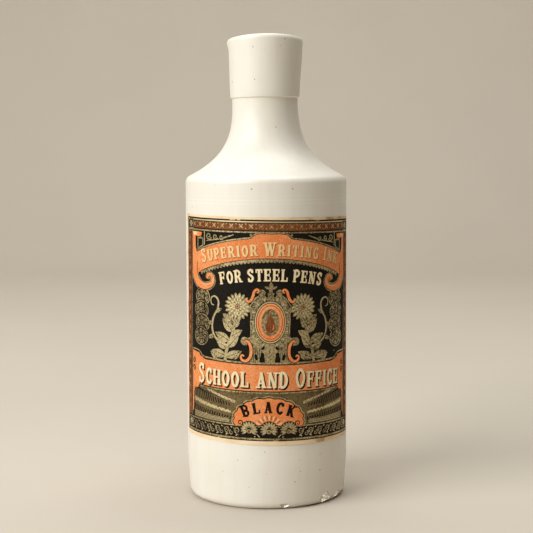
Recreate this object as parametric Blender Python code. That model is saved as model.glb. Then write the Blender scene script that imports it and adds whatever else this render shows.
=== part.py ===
"""Stoneware ink bottle with a pushed-in cork and a wrapped paper label.

Metres, +Z up. The origin is the centre of the flat foot. The label faces -Y, and +X is to the right of
somebody who reads it. The bottle and the cork are turned about the Z axis.
"""

import math

import bmesh
import bpy
from mathutils import Vector

# ---- Stoneware body: the outside, from the foot up ----
FOOT_ROUND = 0.0038             # radius of the rounded foot edge
FOOT_DRAW_IN = 0.0010           # how much narrower than the barrel the foot is
BARREL_RADIUS = 0.0376          # straight wall of the barrel
BARREL_HEIGHT = 0.1468          # top of the straight wall
TAPER_HEIGHT = 0.0200           # the barrel draws in below this height, towards the foot
SHOULDER_ROUND = 0.0037         # radius of the edge between barrel and shoulder
SHOULDER_SLOPE = math.radians(27.3)  # slope of the shoulder where it leaves that edge
SHOULDER_RISE = 0.0361          # from the barrel's top to the narrowest part of the neck
SHOULDER_REACH = 0.0155         # how far the shoulder keeps its slope before it sweeps up
NECK_REACH = 0.0175             # how far below the neck the sweep is already upright
NECK_RADIUS = 0.01525
NECK_LAND = 0.0030              # straight stretch of neck under the collar
COLLAR_STEP = 0.0008            # how far the collar stands proud of the neck
COLLAR_HEIGHT = 0.0281          # from the collar's lower edge to the rim
COLLAR_FLARE = 0.0017           # how much wider the collar is at the rim
COLLAR_EDGE_ROUND = 0.0005      # lower edge of the collar
RIM_ROUND = 0.0014              # outer edge of the rim

# ---- Stoneware body: the inside ----
WALL = 0.0050
FLOOR = 0.0072
INNER_CORNER_ROUND = 0.0060     # between the floor and the wall
BORE_RADIUS = 0.0093            # throat below the cork
BORE_MOUTH_FLARE = 0.0006       # the cork's seat widens by this much up to the rim
MOUTH_ROUND = 0.0010            # inner edge of the rim

# ---- Cork ----
CORK_LENGTH = 0.0220
CORK_BELOW_RIM = 0.0016         # the cork's top lies this far below the rim
CORK_CLEARANCE = 0.0003         # all round, between the cork and its seat
CORK_EDGE = 0.0006              # chamfer at both ends of the cork

# ---- Label ----
LABEL_BELOW = 0.0300            # bare glaze between the label and the flat foot
LABEL_ABOVE = 0.0147            # bare glaze between the label and the shoulder's edge
LABEL_WIDTH = 0.1024            # measured round the barrel
LABEL_THICKNESS = 0.0002
LABEL_CLEARANCE = 0.0003        # between the paper and the glaze
LABEL_TURN = math.radians(2.5)  # the label's middle lies this far to the right of the front
LABEL_LEAN = math.radians(1.0)  # pasted on slightly crooked, its right side lower

# ---- Roundness of the turned shapes ----
BODY_SEGMENTS = 64
CORK_SEGMENTS = 32
LABEL_COLUMNS = 30
ARC_STEPS = 4                   # points along each rounded edge
SWEEP_STEPS = 12                # points along the shoulder's sweep
SEAT_STEPS = 3                  # points along the cork's seat

# Heights that follow from the sizes above.
NECK_HEIGHT = BARREL_HEIGHT + SHOULDER_RISE
COLLAR_BOTTOM = NECK_HEIGHT + NECK_LAND
RIM_HEIGHT = COLLAR_BOTTOM + COLLAR_HEIGHT
CORK_TOP = RIM_HEIGHT - CORK_BELOW_RIM
CORK_BOTTOM = CORK_TOP - CORK_LENGTH
LABEL_TOP = BARREL_HEIGHT - LABEL_ABOVE


def clear_scene():
    for item in list(bpy.data.objects):
        bpy.data.objects.remove(item, do_unlink=True)


def material(name, colour, roughness, metallic=0.0):
    made = bpy.data.materials.new(name)
    made.use_nodes = True
    shader = made.node_tree.nodes["Principled BSDF"]
    shader.inputs["Base Color"].default_value = (*colour, 1.0)
    shader.inputs["Roughness"].default_value = roughness
    shader.inputs["Metallic"].default_value = metallic
    return made


def arc(centre, radius, start, end, steps=ARC_STEPS):
    """Points of a round corner in the (radius, height) plane, its angles in degrees from +X."""
    points = []
    for step in range(steps + 1):
        angle = math.radians(start + (end - start) * step / steps)
        points.append((centre[0] + radius * math.cos(angle), centre[1] + radius * math.sin(angle)))
    return points


def sweep(start, start_handle, end_handle, end, steps=SWEEP_STEPS):
    """Points of one cubic curve from start to end, without its first point."""
    points = []
    for step in range(1, steps + 1):
        t = step / steps
        s = 1.0 - t
        weights = (s ** 3, 3.0 * s * s * t, 3.0 * s * t * t, t ** 3)
        corners = (start, start_handle, end_handle, end)
        points.append(tuple(sum(w * c[axis] for w, c in zip(weights, corners)) for axis in (0, 1)))
    return points


def outer_profile():
    """The outside of the bottle from the rim's flat top down to the edge of the flat foot."""
    rim_radius = NECK_RADIUS + COLLAR_STEP + COLLAR_FLARE
    collar_radius = NECK_RADIUS + COLLAR_STEP
    points = arc((rim_radius - RIM_ROUND, RIM_HEIGHT - RIM_ROUND), RIM_ROUND, 90.0, 0.0)
    points += arc(
        (collar_radius - COLLAR_EDGE_ROUND, COLLAR_BOTTOM + COLLAR_EDGE_ROUND),
        COLLAR_EDGE_ROUND, 0.0, -90.0, steps=2,
    )
    points.append((NECK_RADIUS, COLLAR_BOTTOM))
    points.append((NECK_RADIUS, NECK_HEIGHT))

    # The sweep meets the shoulder's round edge on a shared tangent.
    edge_centre = (BARREL_RADIUS - SHOULDER_ROUND, BARREL_HEIGHT)
    turn = 90.0 - math.degrees(SHOULDER_SLOPE)
    edge = arc(edge_centre, SHOULDER_ROUND, turn, 0.0)
    meets = edge[0]
    handle = (
        meets[0] - SHOULDER_REACH * math.cos(SHOULDER_SLOPE),
        meets[1] + SHOULDER_REACH * math.sin(SHOULDER_SLOPE),
    )
    points += sweep((NECK_RADIUS, NECK_HEIGHT), (NECK_RADIUS, NECK_HEIGHT - NECK_REACH), handle, meets)
    points += edge[1:]

    # The barrel draws in slightly towards the rounded foot.
    points.append((BARREL_RADIUS, TAPER_HEIGHT))
    flat_radius = BARREL_RADIUS - FOOT_DRAW_IN - FOOT_ROUND
    points += arc((flat_radius, FOOT_ROUND), FOOT_ROUND, 0.0, -90.0)
    return points


def seat_radius(height):
    """Radius of the cork's seat: the throat's radius below the cork, and wider up to the rim."""
    share = (height - CORK_BOTTOM) / (RIM_HEIGHT - CORK_BOTTOM)
    return BORE_RADIUS + BORE_MOUTH_FLARE * max(0.0, min(1.0, share))


def inner_profile():
    """The inside, from the middle of the floor up to the flat top of the rim."""
    inner_radius = BARREL_RADIUS - WALL
    points = [(0.0, FLOOR)]
    points += arc(
        (inner_radius - INNER_CORNER_ROUND, FLOOR + INNER_CORNER_ROUND), INNER_CORNER_ROUND, -90.0, 0.0
    )
    # The wall keeps its thickness round the shoulder and runs into the throat.
    edge_centre = (BARREL_RADIUS - SHOULDER_ROUND, BARREL_HEIGHT)
    below_edge = (inner_radius, BARREL_HEIGHT - WALL)
    shoulder_foot = (
        edge_centre[0] - WALL * math.sin(SHOULDER_SLOPE),
        BARREL_HEIGHT + SHOULDER_ROUND - WALL,
    )
    throat = (BORE_RADIUS, NECK_HEIGHT)
    throat_handle = (BORE_RADIUS, NECK_HEIGHT - NECK_REACH)
    shoulder_handle = (
        shoulder_foot[0] - SHOULDER_REACH * math.cos(SHOULDER_SLOPE),
        shoulder_foot[1] + SHOULDER_REACH * math.sin(SHOULDER_SLOPE),
    )
    points.append(below_edge)
    points.append(shoulder_foot)
    points += sweep(shoulder_foot, shoulder_handle, throat_handle, throat)
    for step in range(SEAT_STEPS):
        height = CORK_BOTTOM + (RIM_HEIGHT - MOUTH_ROUND - CORK_BOTTOM) * step / SEAT_STEPS
        points.append((seat_radius(height), height))
    mouth = seat_radius(RIM_HEIGHT - MOUTH_ROUND)
    points += arc((mouth + MOUTH_ROUND, RIM_HEIGHT - MOUTH_ROUND), MOUTH_ROUND, 180.0, 90.0)
    return points


def turned(name, profile, segments):
    """Spins a profile that starts and ends on the Z axis into one closed body, faces outwards."""
    mesh = bmesh.new()
    corners = [mesh.verts.new((radius, 0.0, height)) for radius, height in profile]
    edges = [mesh.edges.new(pair) for pair in zip(corners, corners[1:])]
    bmesh.ops.spin(
        mesh, geom=corners + edges, cent=(0.0, 0.0, 0.0), axis=(0.0, 0.0, 1.0),
        angle=math.tau, steps=segments, use_merge=True,
    )
    bmesh.ops.remove_doubles(mesh, verts=mesh.verts, dist=0.00001)
    bmesh.ops.recalc_face_normals(mesh, faces=mesh.faces)
    data = bpy.data.meshes.new(name)
    mesh.to_mesh(data)
    mesh.free()
    data.shade_smooth()
    data.set_sharp_from_angle(angle=math.radians(35.0))
    made = bpy.data.objects.new(name, data)
    bpy.context.scene.collection.objects.link(made)
    return made


def make_stoneware_body():
    profile = [(0.0, 0.0)] + outer_profile()[::-1] + inner_profile()[::-1]
    body = turned("stoneware_body", profile, BODY_SEGMENTS)
    body.data.materials.append(material("glazed_stoneware", (0.80, 0.76, 0.66), 0.25))
    return body


def make_cork():
    """The cork's origin lies on the bore's axis, at the level of the cork's top."""
    def cork_radius(height):
        return seat_radius(height) - CORK_CLEARANCE

    outline = [
        (0.0, CORK_BOTTOM),
        (cork_radius(CORK_BOTTOM) - CORK_EDGE, CORK_BOTTOM),
        (cork_radius(CORK_BOTTOM + CORK_EDGE), CORK_BOTTOM + CORK_EDGE),
        (cork_radius(CORK_TOP - CORK_EDGE), CORK_TOP - CORK_EDGE),
        (cork_radius(CORK_TOP) - CORK_EDGE, CORK_TOP),
        (0.0, CORK_TOP),
    ]
    profile = [(radius, height - CORK_TOP) for radius, height in outline]
    cork = turned("cork_stopper", profile, CORK_SEGMENTS)
    cork.location = Vector((0.0, 0.0, CORK_TOP))
    cork.data.materials.append(material("cork", (0.55, 0.36, 0.19), 0.85))
    return cork


def lean_label(mesh, radius):
    """Turns the curved sheet about its own middle, as if it were unrolled, turned flat and rolled again."""
    middle_angle = -math.pi / 2.0 + LABEL_TURN
    middle_height = (LABEL_BELOW + LABEL_TOP) / 2.0
    for corner in mesh.verts:
        distance = math.hypot(corner.co.x, corner.co.y)
        along = (math.atan2(corner.co.y, corner.co.x) - middle_angle) * radius
        up = corner.co.z - middle_height
        leant_along = along * math.cos(LABEL_LEAN) + up * math.sin(LABEL_LEAN)
        leant_up = up * math.cos(LABEL_LEAN) - along * math.sin(LABEL_LEAN)
        angle = middle_angle + leant_along / radius
        corner.co.x = distance * math.cos(angle)
        corner.co.y = distance * math.sin(angle)
        corner.co.z = middle_height + leant_up


def make_label():
    """A thin sheet bent round the barrel: a flat outline turned about the Z axis, then leant."""
    inner = BARREL_RADIUS + LABEL_CLEARANCE
    outer = inner + LABEL_THICKNESS
    half_angle = LABEL_WIDTH / outer / 2.0
    mesh = bmesh.new()
    outline = [(inner, LABEL_BELOW), (outer, LABEL_BELOW), (outer, LABEL_TOP), (inner, LABEL_TOP)]
    first = -math.pi / 2.0 + LABEL_TURN - half_angle
    corners = [
        mesh.verts.new((radius * math.cos(first), radius * math.sin(first), height))
        for radius, height in outline
    ]
    end = mesh.faces.new(corners)
    swept = bmesh.ops.spin(
        mesh, geom=[end], cent=(0.0, 0.0, 0.0), axis=(0.0, 0.0, 1.0),
        angle=2.0 * half_angle, steps=LABEL_COLUMNS,
    )
    if not swept["geom_last"]:
        raise RuntimeError("the label's outline did not sweep")
    lean_label(mesh, outer)
    bmesh.ops.recalc_face_normals(mesh, faces=mesh.faces)
    data = bpy.data.meshes.new("paper_label")
    mesh.to_mesh(data)
    mesh.free()
    data.shade_smooth()
    data.set_sharp_from_angle(angle=math.radians(35.0))
    label = bpy.data.objects.new("paper_label", data)
    bpy.context.scene.collection.objects.link(label)
    data.materials.append(material("printed_paper", (0.16, 0.09, 0.05), 0.6))
    return label


def main():
    clear_scene()
    make_stoneware_body()
    make_cork()
    make_label()


main()
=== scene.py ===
"""Looks of a glazed stoneware ink bottle: its glaze, its cork and its colour-printed paper label.

Every size is in metres unless its name ends in _MM. The bottle stands on the origin, +Z up, and the label
faces -Y. The label is drawn flat in millimetres, one mesh for each printed colour, and then bent round the
barrel.
"""

import math
import random

import bmesh
import bpy
from mathutils import Matrix, Vector, noise


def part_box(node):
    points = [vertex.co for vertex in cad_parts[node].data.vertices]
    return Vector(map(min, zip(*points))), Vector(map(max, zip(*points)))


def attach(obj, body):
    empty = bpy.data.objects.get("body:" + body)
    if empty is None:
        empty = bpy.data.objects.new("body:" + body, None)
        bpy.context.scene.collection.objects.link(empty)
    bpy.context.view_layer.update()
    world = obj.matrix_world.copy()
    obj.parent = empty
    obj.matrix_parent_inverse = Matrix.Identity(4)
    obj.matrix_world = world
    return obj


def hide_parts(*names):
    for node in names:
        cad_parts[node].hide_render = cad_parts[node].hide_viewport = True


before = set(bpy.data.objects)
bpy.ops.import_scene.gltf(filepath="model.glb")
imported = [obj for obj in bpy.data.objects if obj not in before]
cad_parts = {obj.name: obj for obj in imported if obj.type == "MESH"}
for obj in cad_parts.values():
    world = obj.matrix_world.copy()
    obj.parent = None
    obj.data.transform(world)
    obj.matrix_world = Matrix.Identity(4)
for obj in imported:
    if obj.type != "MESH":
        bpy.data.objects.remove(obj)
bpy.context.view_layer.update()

bl_info = {
    "name": "Stoneware ink bottle",
    "version": (1, 0, 0),
    "blender": (4, 5, 0),
    "location": "View3D > Sidebar > Ink bottle",
    "description": "Builds a glazed stoneware ink bottle with a cork and a printed label",
    "category": "Object",
}

MM = 0.001

# ---- Sizes taken from the frame ----
BODY_LOW, BODY_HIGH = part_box("stoneware_body")
CORK_LOW, CORK_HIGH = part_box("cork_stopper")
LABEL_LOW, LABEL_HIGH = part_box("paper_label")
BARREL_RADIUS = BODY_HIGH.x
RIM_HEIGHT = BODY_HIGH.z

# ---- The thrown shape, outside ----
FOOT_ROUND = 0.0038
FOOT_DRAW_IN = 0.0010
TAPER_HEIGHT = 0.0200
SHOULDER_ROUND = 0.0037
SHOULDER_SLOPE = math.radians(27.3)
SHOULDER_RISE = 0.0361
SHOULDER_REACH = 0.0155
NECK_REACH = 0.0175
NECK_RADIUS = 0.01525
NECK_LAND = 0.0030
COLLAR_STEP = 0.0008
COLLAR_HEIGHT = 0.0281
COLLAR_FLARE = 0.0017
COLLAR_EDGE_ROUND = 0.0005
RIM_ROUND = 0.0014
RIM_FALL = 0.0020
COLLAR_BOTTOM = RIM_HEIGHT - COLLAR_HEIGHT
NECK_HEIGHT = COLLAR_BOTTOM - NECK_LAND
BARREL_HEIGHT = NECK_HEIGHT - SHOULDER_RISE

# ---- The thrown shape, inside ----
WALL = 0.0050
FLOOR = 0.0072
INNER_CORNER_ROUND = 0.0060
BORE_RADIUS = 0.0093
BORE_MOUTH_FLARE = 0.0006
MOUTH_ROUND = 0.0010
CORK_CLEARANCE = 0.0003

# ---- What hand and kiln left ----
THUMB_TURN = math.radians(188.0)            # where a thumb pressed in the collar, from +X
THUMB_REACH = math.radians(38.0)
THUMB_SPAN = 0.0260                         # how far the hollow runs down from the rim
COLLAR_LEAN_START = NECK_HEIGHT - 0.012     # the collar's lean grows from here to its lower edge
RIM_RIPPLE = 0.00006
CHIP_ROUGHNESS = 0.02                       # a share of the chip's size
CHIP_CUTS = 7
SPECK_SEED = 7
SPECKS_BEHIND = 70                          # scattered round the sides and the back
SPECK_LIFT = 0.00003                        # how far each one stands off the glaze

# ---- The cork ----
CORK_EDGE_ROUND = 0.0009
CORK_SEGMENTS = 112
CORK_RING_GAP = 0.0005

# ---- The label as it was printed, flat, in millimetres ----
# Heights on the drawing run up from 29 at the sheet's lower edge, and widths from the sheet's middle.
LABEL_WIDTH_MM = 102.4
LABEL_BOTTOM_MM = 29.0
LABEL_TOP_MM = 131.15
LABEL_MIDDLE_MM = (LABEL_BOTTOM_MM + LABEL_TOP_MM) / 2.0
LABEL_TURN = math.radians(2.5)
LABEL_LEAN = math.radians(1.0)
PAPER_GAP = 0.00010             # paste under the paper
PAPER_THICKNESS = 0.00012
INK_STEP_MM = 0.03              # each colour lies this far over the last, so that none hides another
WORN_EDGE_MM = 0.30             # how far the sheet's edge has worn back where it is worst
STRIP_MM = 2.0                  # the flat print is cut into strips this wide before it is bent


def linear(code):
    """The linear colour of an sRGB hex value such as E9DFC8."""
    def channel(value):
        return value / 12.92 if value <= 0.04045 else ((value + 0.055) / 1.055) ** 2.4

    return tuple(channel(int(code[start:start + 2], 16) / 255.0) for start in (0, 2, 4))


def colour_setting(label, description, code):
    return bpy.props.FloatVectorProperty(
        name=label, description=description, subtype="COLOR", size=3, min=0.0, max=1.0, default=linear(code)
    )


def length_setting(label, description, default):
    return bpy.props.FloatProperty(
        name=label, description=description, subtype="DISTANCE", unit="LENGTH", default=default
    )


def turn_setting(label, description, degrees):
    return bpy.props.FloatProperty(
        name=label, description=description, subtype="ANGLE", unit="ROTATION", default=math.radians(degrees)
    )


def power_setting(label, description, watts):
    return bpy.props.FloatProperty(
        name=label, description=description, subtype="POWER", unit="POWER", default=watts
    )


class BottleSettings(bpy.types.PropertyGroup):
    """Sizes and colours of the glazed body."""

    segments: bpy.props.IntProperty(
        name="Segments", description="Steps round the bottle", default=160, min=48, max=256
    )
    ring_gap: length_setting("Ring gap", "Longest run between two rings of the wall", 0.0026)
    wobble: length_setting("Wobble", "How far the wall strays from a true circle", 0.00007)
    hollow: length_setting("Hollow", "How deep a thumb pressed in the collar's left, under the rim", 0.00080)
    rim_lean: turn_setting("Rim lean", "How far the rim drops to the left", 0.95)
    rim_tilt: turn_setting("Rim tilt", "How far the rim rises to the front", 1.2)
    rim_dip: length_setting("Rim dip", "How far the rim sags at its left and right", 0.00075)
    neck_aside: length_setting("Neck aside", "How far the neck stands left of the barrel's middle", 0.00028)
    collar_lean: turn_setting("Collar lean", "How far the collar's lower edge drops to the left", 0.9)
    glaze: colour_setting("Glaze", "Cream of the glaze where it lies thick", "EFEADF")
    glaze_thin: colour_setting("Thin glaze", "The glaze where the clay shows through", "DDD2BB")
    speck: colour_setting("Specks", "Iron specks in the glaze", "6A5A45")
    broken: colour_setting("Broken clay", "Fresh broken stoneware", "FBF6EC")
    raw_clay: colour_setting("Raw clay", "Unglazed underside of the foot", "B9A284")


class CorkSettings(bpy.types.PropertyGroup):
    """Colours and roughness of the cork."""

    roughness_depth: length_setting("Grain depth", "How deep the cork's grain is", 0.00022)
    bark: colour_setting("Cork", "Cut cork", "B08757")
    bark_dark: colour_setting("Dark cork", "Pores and grown bark in the cork", "5A3B22")
    stain: colour_setting("Ink stain", "Cork that has stood in ink", "1D1A26")


class LabelSettings(bpy.types.PropertyGroup):
    """Colours of the paper and of its inks."""

    paper: colour_setting("Paper", "Aged label paper", "EBCDA2")
    black: colour_setting("Black ink", "Ground of the print", "100C08")
    brown: colour_setting("Brown ink", "Red-brown bands of the border", "6E391B")
    orange: colour_setting("Orange ink", "Banners and scrolls", "E07C3F")
    olive: colour_setting("Olive ink", "Ground of the rays under the lower banner", "7C6A47")
    gold: colour_setting("Old gold ink", "Ornament on the black ground", "CAB88B")
    bright: colour_setting("Light gold ink", "Highlights of the ornament", "E8D8AC")
    straw: colour_setting("Straw", "Lettering on the upper banner", "EDCB92")
    cream: colour_setting("Cream", "Lettering left in the colour of the paper", "F5E2B8")


class StageSettings(bpy.types.PropertyGroup):
    """Camera, lamps and floor."""

    lens: bpy.props.FloatProperty(
        name="Lens", description="Focal length of the camera in millimetres", default=87.8, min=20.0
    )
    key_power: power_setting("Key light", "Power of the window-like light", 20.5)
    fill_power: power_setting("Fill light", "Power of the small light ahead, and of the one behind", 0.5)
    top_power: power_setting("Top light", "Power of the light from straight above", 9.0)
    backdrop_power: power_setting("Backdrop light", "Power of the light on the wall behind", 15.0)
    floor: colour_setting("Floor", "Plain pale floor", "C9BFB0")


# ---- Materials ----

def feed(node, name, source):
    """Links a node's input to a socket, or to another node's first output."""
    if isinstance(source, bpy.types.Node):
        source = source.outputs[0]
    node.id_data.links.new(source, node.inputs[name])


def add_node(material, kind, inputs=None, **settings):
    """Adds one node, its kind without the leading ShaderNode. Its inputs are values, or the nodes and
    sockets that feed them."""
    made = material.node_tree.nodes.new("ShaderNode" + kind)
    for name, value in settings.items():
        setattr(made, name, value)
    for name, value in (inputs or {}).items():
        if isinstance(value, (bpy.types.Node, bpy.types.NodeSocket)):
            feed(made, name, value)
        else:
            made.inputs[name].default_value = value
    return made


def new_material(name, **values):
    """An empty Principled material with these values on its own sockets."""
    material = bpy.data.materials.new(name)
    material.use_nodes = True
    shader = material.node_tree.nodes["Principled BSDF"]
    for socket, value in values.items():
        shader.inputs[socket.replace("_", " ")].default_value = value
    place = add_node(material, "TexCoord").outputs["Object"]
    return material, shader, place


def set_stops(ramp, stops):
    """Gives a colour ramp these (position, value) stops, in greys or in colours."""
    elements = ramp.color_ramp.elements
    while len(elements) < len(stops):
        elements.new(1.0)
    for element, (position, value) in zip(elements, stops):
        element.position = position
        colour = value if hasattr(value, "__len__") else (value,) * 3
        element.color = (*colour, 1.0)


def opaque(colour):
    return (*colour, 1.0)


def per_mm(size_mm):
    """The texture scale that repeats a pattern every size_mm."""
    return 1.0 / (size_mm * MM)


def mottled(material, shader, place, size_mm, detail, stops):
    """Colours a shader in soft patches of one size, and returns the pattern behind them."""
    pattern = add_node(material, "TexNoise", {"Vector": place, "Scale": per_mm(size_mm), "Detail": detail})
    tone = add_node(material, "ValToRGB", {"Fac": pattern})
    set_stops(tone, stops)
    feed(shader, "Base Color", tone)
    return pattern


def glazed_stoneware(settings):
    """Feldspar glaze over thrown stoneware: an even, softly glossy cream skin with faint streaks where it
    ran, a warmer tone where it lies thin, and dark iron specks that came up through it in the kiln."""
    material, shader, place = new_material("feldspar_glazed_stoneware", Roughness=0.3, IOR=1.5)
    drift = add_node(
        material, "TexNoise",
        {"Vector": place, "Scale": per_mm(34.0), "Detail": 3.0, "Roughness": 0.55},
    )
    cloud = add_node(material, "ValToRGB", {"Fac": drift})
    set_stops(cloud, [(0.35, 0.0), (0.72, 1.0)])
    stretched = add_node(material, "Mapping", {"Vector": place, "Scale": (1.0, 1.0, 0.08)})
    runs = add_node(material, "TexNoise", {"Vector": stretched, "Scale": per_mm(3.2), "Detail": 2.0})
    streak = add_node(material, "ValToRGB", {"Fac": runs})
    set_stops(streak, [(0.45, 0.0), (0.75, 1.0)])
    thin = add_node(material, "Math", {0: cloud, 1: 0.30}, operation="MULTIPLY")
    thinner = add_node(material, "Math", {0: streak, 1: 0.16, 2: thin}, operation="MULTIPLY_ADD")
    body = add_node(
        material, "MixRGB",
        {"Fac": thinner, "Color1": opaque(settings.glaze), "Color2": opaque(settings.glaze_thin)},
    )
    # Three fine pale rings near the top of the barrel: a painted highlight, standing in for the light that
    # the ridges a rib left would catch.
    height = add_node(material, "SeparateXYZ", {"Vector": place})
    near = add_node(
        material, "MapRange",
        {"Value": height.outputs["Z"], "From Min": BARREL_HEIGHT - 0.010, "From Max": BARREL_HEIGHT - 0.004},
    )
    rings = add_node(material, "ValToRGB", {"Fac": near})
    stops = [(0.14, 0.0), (0.20, 0.8), (0.26, 0.0), (0.42, 0.0), (0.47, 1.0), (0.52, 0.0)]
    set_stops(rings, stops + [(0.74, 0.0), (0.78, 0.5), (0.82, 0.0)])
    fainter = add_node(material, "Math", {0: rings, 1: 0.30}, operation="MULTIPLY")
    # Mixes the painted highlight of the three rings into the glaze colour.
    highlight_ringed = add_node(material, "MixRGB", {"Fac": fainter, "Color1": body, "Color2": (1.0, 1.0, 0.97, 1.0)})
    colour = highlight_ringed
    # Two sizes of speck: a Voronoi cell holds one speck at its seed, and only some cells show theirs.
    for cell_mm, reach, share, strength in ((8.0, 0.060, 0.66, 0.42), (3.2, 0.110, 0.76, 0.22)):
        seeds = add_node(material, "TexVoronoi", {"Vector": place, "Scale": per_mm(cell_mm)})
        dot = add_node(material, "ValToRGB", {"Fac": seeds})
        set_stops(dot, [(reach * 0.35, 1.0), (reach, 0.0)])
        chosen = add_node(material, "SeparateColor", {"Color": seeds.outputs["Color"]})
        shown = add_node(material, "Math", {0: chosen, 1: share}, operation="GREATER_THAN")
        mask = add_node(material, "Math", {0: dot, 1: shown}, operation="MULTIPLY")
        faint = add_node(material, "Math", {0: mask, 1: strength}, operation="MULTIPLY")
        mixed = add_node(
            material, "MixRGB",
            {"Fac": faint, "Color1": colour, "Color2": opaque(settings.speck)},
        )
        colour = mixed
    feed(shader, "Base Color", colour)
    # Throwing lines and orange-peel, both far under a tenth of a millimetre deep.
    lines = add_node(
        material, "TexWave",
        {"Vector": place, "Scale": per_mm(1.5) / 6.3, "Distortion": 1.2, "Detail": 1.0},
        wave_type="BANDS", bands_direction="Z",
    )
    peel = add_node(material, "TexNoise", {"Vector": place, "Scale": per_mm(2.4), "Detail": 2.0})
    relief = add_node(material, "Math", {0: lines.outputs["Fac"], 1: 0.25, 2: peel}, operation="MULTIPLY_ADD")
    bump = add_node(material, "Bump", {"Height": relief, "Strength": 0.5, "Distance": 0.00004})
    feed(shader, "Normal", bump)
    gloss = add_node(
        material, "MapRange",
        {"Value": drift, "From Min": 0.3, "From Max": 0.7, "To Min": 0.30, "To Max": 0.42},
    )
    feed(shader, "Roughness", gloss)
    return material


def iron_speck(settings):
    """Iron that melted up through the glaze: a soft, mottled grey-brown dot under the gloss."""
    material, shader, place = new_material("iron_speck_under_glaze", Roughness=0.35, IOR=1.5)
    mottled(material, shader, place, 0.4, 2.0, [(0.35, settings.speck), (0.75, linear("A89A82"))])
    return material


def unglazed_stoneware(settings):
    """Bare stoneware: dry, sandy and matte, in two tones, with a grain that breaks the light up."""
    material, shader, place = new_material("unglazed_stoneware", Roughness=0.9, IOR=1.5)
    stops = [(0.3, linear("957C5E")), (0.6, settings.raw_clay)]
    grain = mottled(material, shader, place, 0.8, 4.0, stops)
    bump = add_node(material, "Bump", {"Height": grain, "Strength": 0.8, "Distance": 0.0001})
    feed(shader, "Normal", bump)
    return material


def fresh_break(settings):
    """Vitrified stoneware where a flake has come away: nearly white and glassy. Its gloss is set above the
    glaze's own, so that chips this small flash in the light."""
    material, shader, place = new_material(
        "broken_stoneware", Roughness=0.18, IOR=2.0, Specular_IOR_Level=1.0
    )
    mottled(material, shader, place, 1.6, 4.0, [(0.3, linear("E6DCC8")), (0.6, settings.broken)])
    return material


def cut_cork(settings):
    """Cork punched across the bark: warm tan and matte, with dark pores and bands of darker growth, and
    black-violet where its lower end has stood in ink."""
    material, shader, place = new_material("natural_cut_cork", Roughness=0.85, IOR=1.45)
    growth = add_node(
        material, "TexNoise",
        {"Vector": place, "Scale": per_mm(5.0), "Detail": 5.0, "Roughness": 0.62, "Distortion": 0.6},
    )
    tone = add_node(material, "ValToRGB", {"Fac": growth})
    set_stops(tone, [(0.32, settings.bark_dark), (0.47, settings.bark), (0.8, linear("CBA673"))])
    squeezed = add_node(material, "Mapping", {"Vector": place, "Scale": (1.0, 1.0, 2.6)})
    pores = add_node(material, "TexVoronoi", {"Vector": squeezed, "Scale": per_mm(2.3), "Randomness": 1.0})
    pore = add_node(material, "ValToRGB", {"Fac": pores})
    set_stops(pore, [(0.10, 1.0), (0.24, 0.0)])
    pitted = add_node(material, "MixRGB", {"Fac": pore, "Color1": tone, "Color2": opaque(settings.bark_dark)})
    height = add_node(material, "SeparateXYZ", {"Vector": place})
    ragged = add_node(
        material, "Math",
        {0: growth, 1: 0.006, 2: height.outputs["Z"]}, operation="MULTIPLY_ADD",
    )
    soaked = add_node(
        material, "MapRange",
        {
            "Value": ragged,
            "From Min": CORK_LOW.z + 0.0095, "From Max": CORK_LOW.z + 0.0060,
            "To Min": 0.0, "To Max": 0.94,
        },
    )
    stained = add_node(
        material, "MixRGB",
        {"Fac": soaked, "Color1": pitted, "Color2": opaque(settings.stain)},
    )
    feed(shader, "Base Color", stained)
    bump = add_node(material, "Bump", {"Height": growth, "Strength": 0.7, "Distance": 0.0003})
    feed(shader, "Normal", bump)
    return material


def label_paper(settings):
    """Aged label paper: warm, uncoated and matte, with brown foxing."""
    material, shader, place = new_material("aged_rag_paper", Roughness=0.7, IOR=1.45)
    stops = [(0.3, linear("B98F5E")), (0.45, settings.paper), (0.8, linear("F6E3C2"))]
    mottled(material, shader, place, 9.0, 5.0, stops)
    fibre = add_node(material, "TexNoise", {"Vector": place, "Scale": per_mm(0.5), "Detail": 3.0})
    bump = add_node(material, "Bump", {"Height": fibre, "Strength": 0.5, "Distance": 0.00003})
    feed(shader, "Normal", bump)
    return material


def printed_ink(name, colour, worn, wear, grain_mm=0.7, bronze=0.0):
    """Oil ink laid on paper from a litho stone: it takes the stone's grain, and it has rubbed thin in
    patches. It dries nearly matte. The grain is drawn coarser than the real 0.2 mm, so that it shows. Gold
    was printed with bronze powder, which gleams towards the light and goes dark away from it: bronze is
    the share of metal in the ink."""
    material, shader, place = new_material(
        name, Roughness=0.5 if bronze else 0.65, Metallic=bronze, Specular_IOR_Level=0.12
    )
    stone = add_node(
        material, "TexNoise",
        {"Vector": place, "Scale": per_mm(grain_mm), "Detail": 3.0, "Roughness": 0.7},
    )
    rub = add_node(material, "TexNoise", {"Vector": place, "Scale": per_mm(11.0), "Detail": 4.0})
    both = add_node(material, "Math", {0: rub, 1: 0.5, 2: stone}, operation="MULTIPLY_ADD")
    thin = add_node(
        material, "MapRange",
        {"Value": both, "From Min": 0.66, "From Max": 0.90, "To Min": 0.0, "To Max": wear},
    )
    ink = add_node(material, "MixRGB", {"Fac": thin, "Color1": opaque(colour), "Color2": opaque(worn)})
    feed(shader, "Base Color", ink)
    bump = add_node(material, "Bump", {"Height": stone, "Strength": 0.3, "Distance": 0.00003})
    feed(shader, "Normal", bump)
    return material


# ---- Meshes ----

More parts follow.
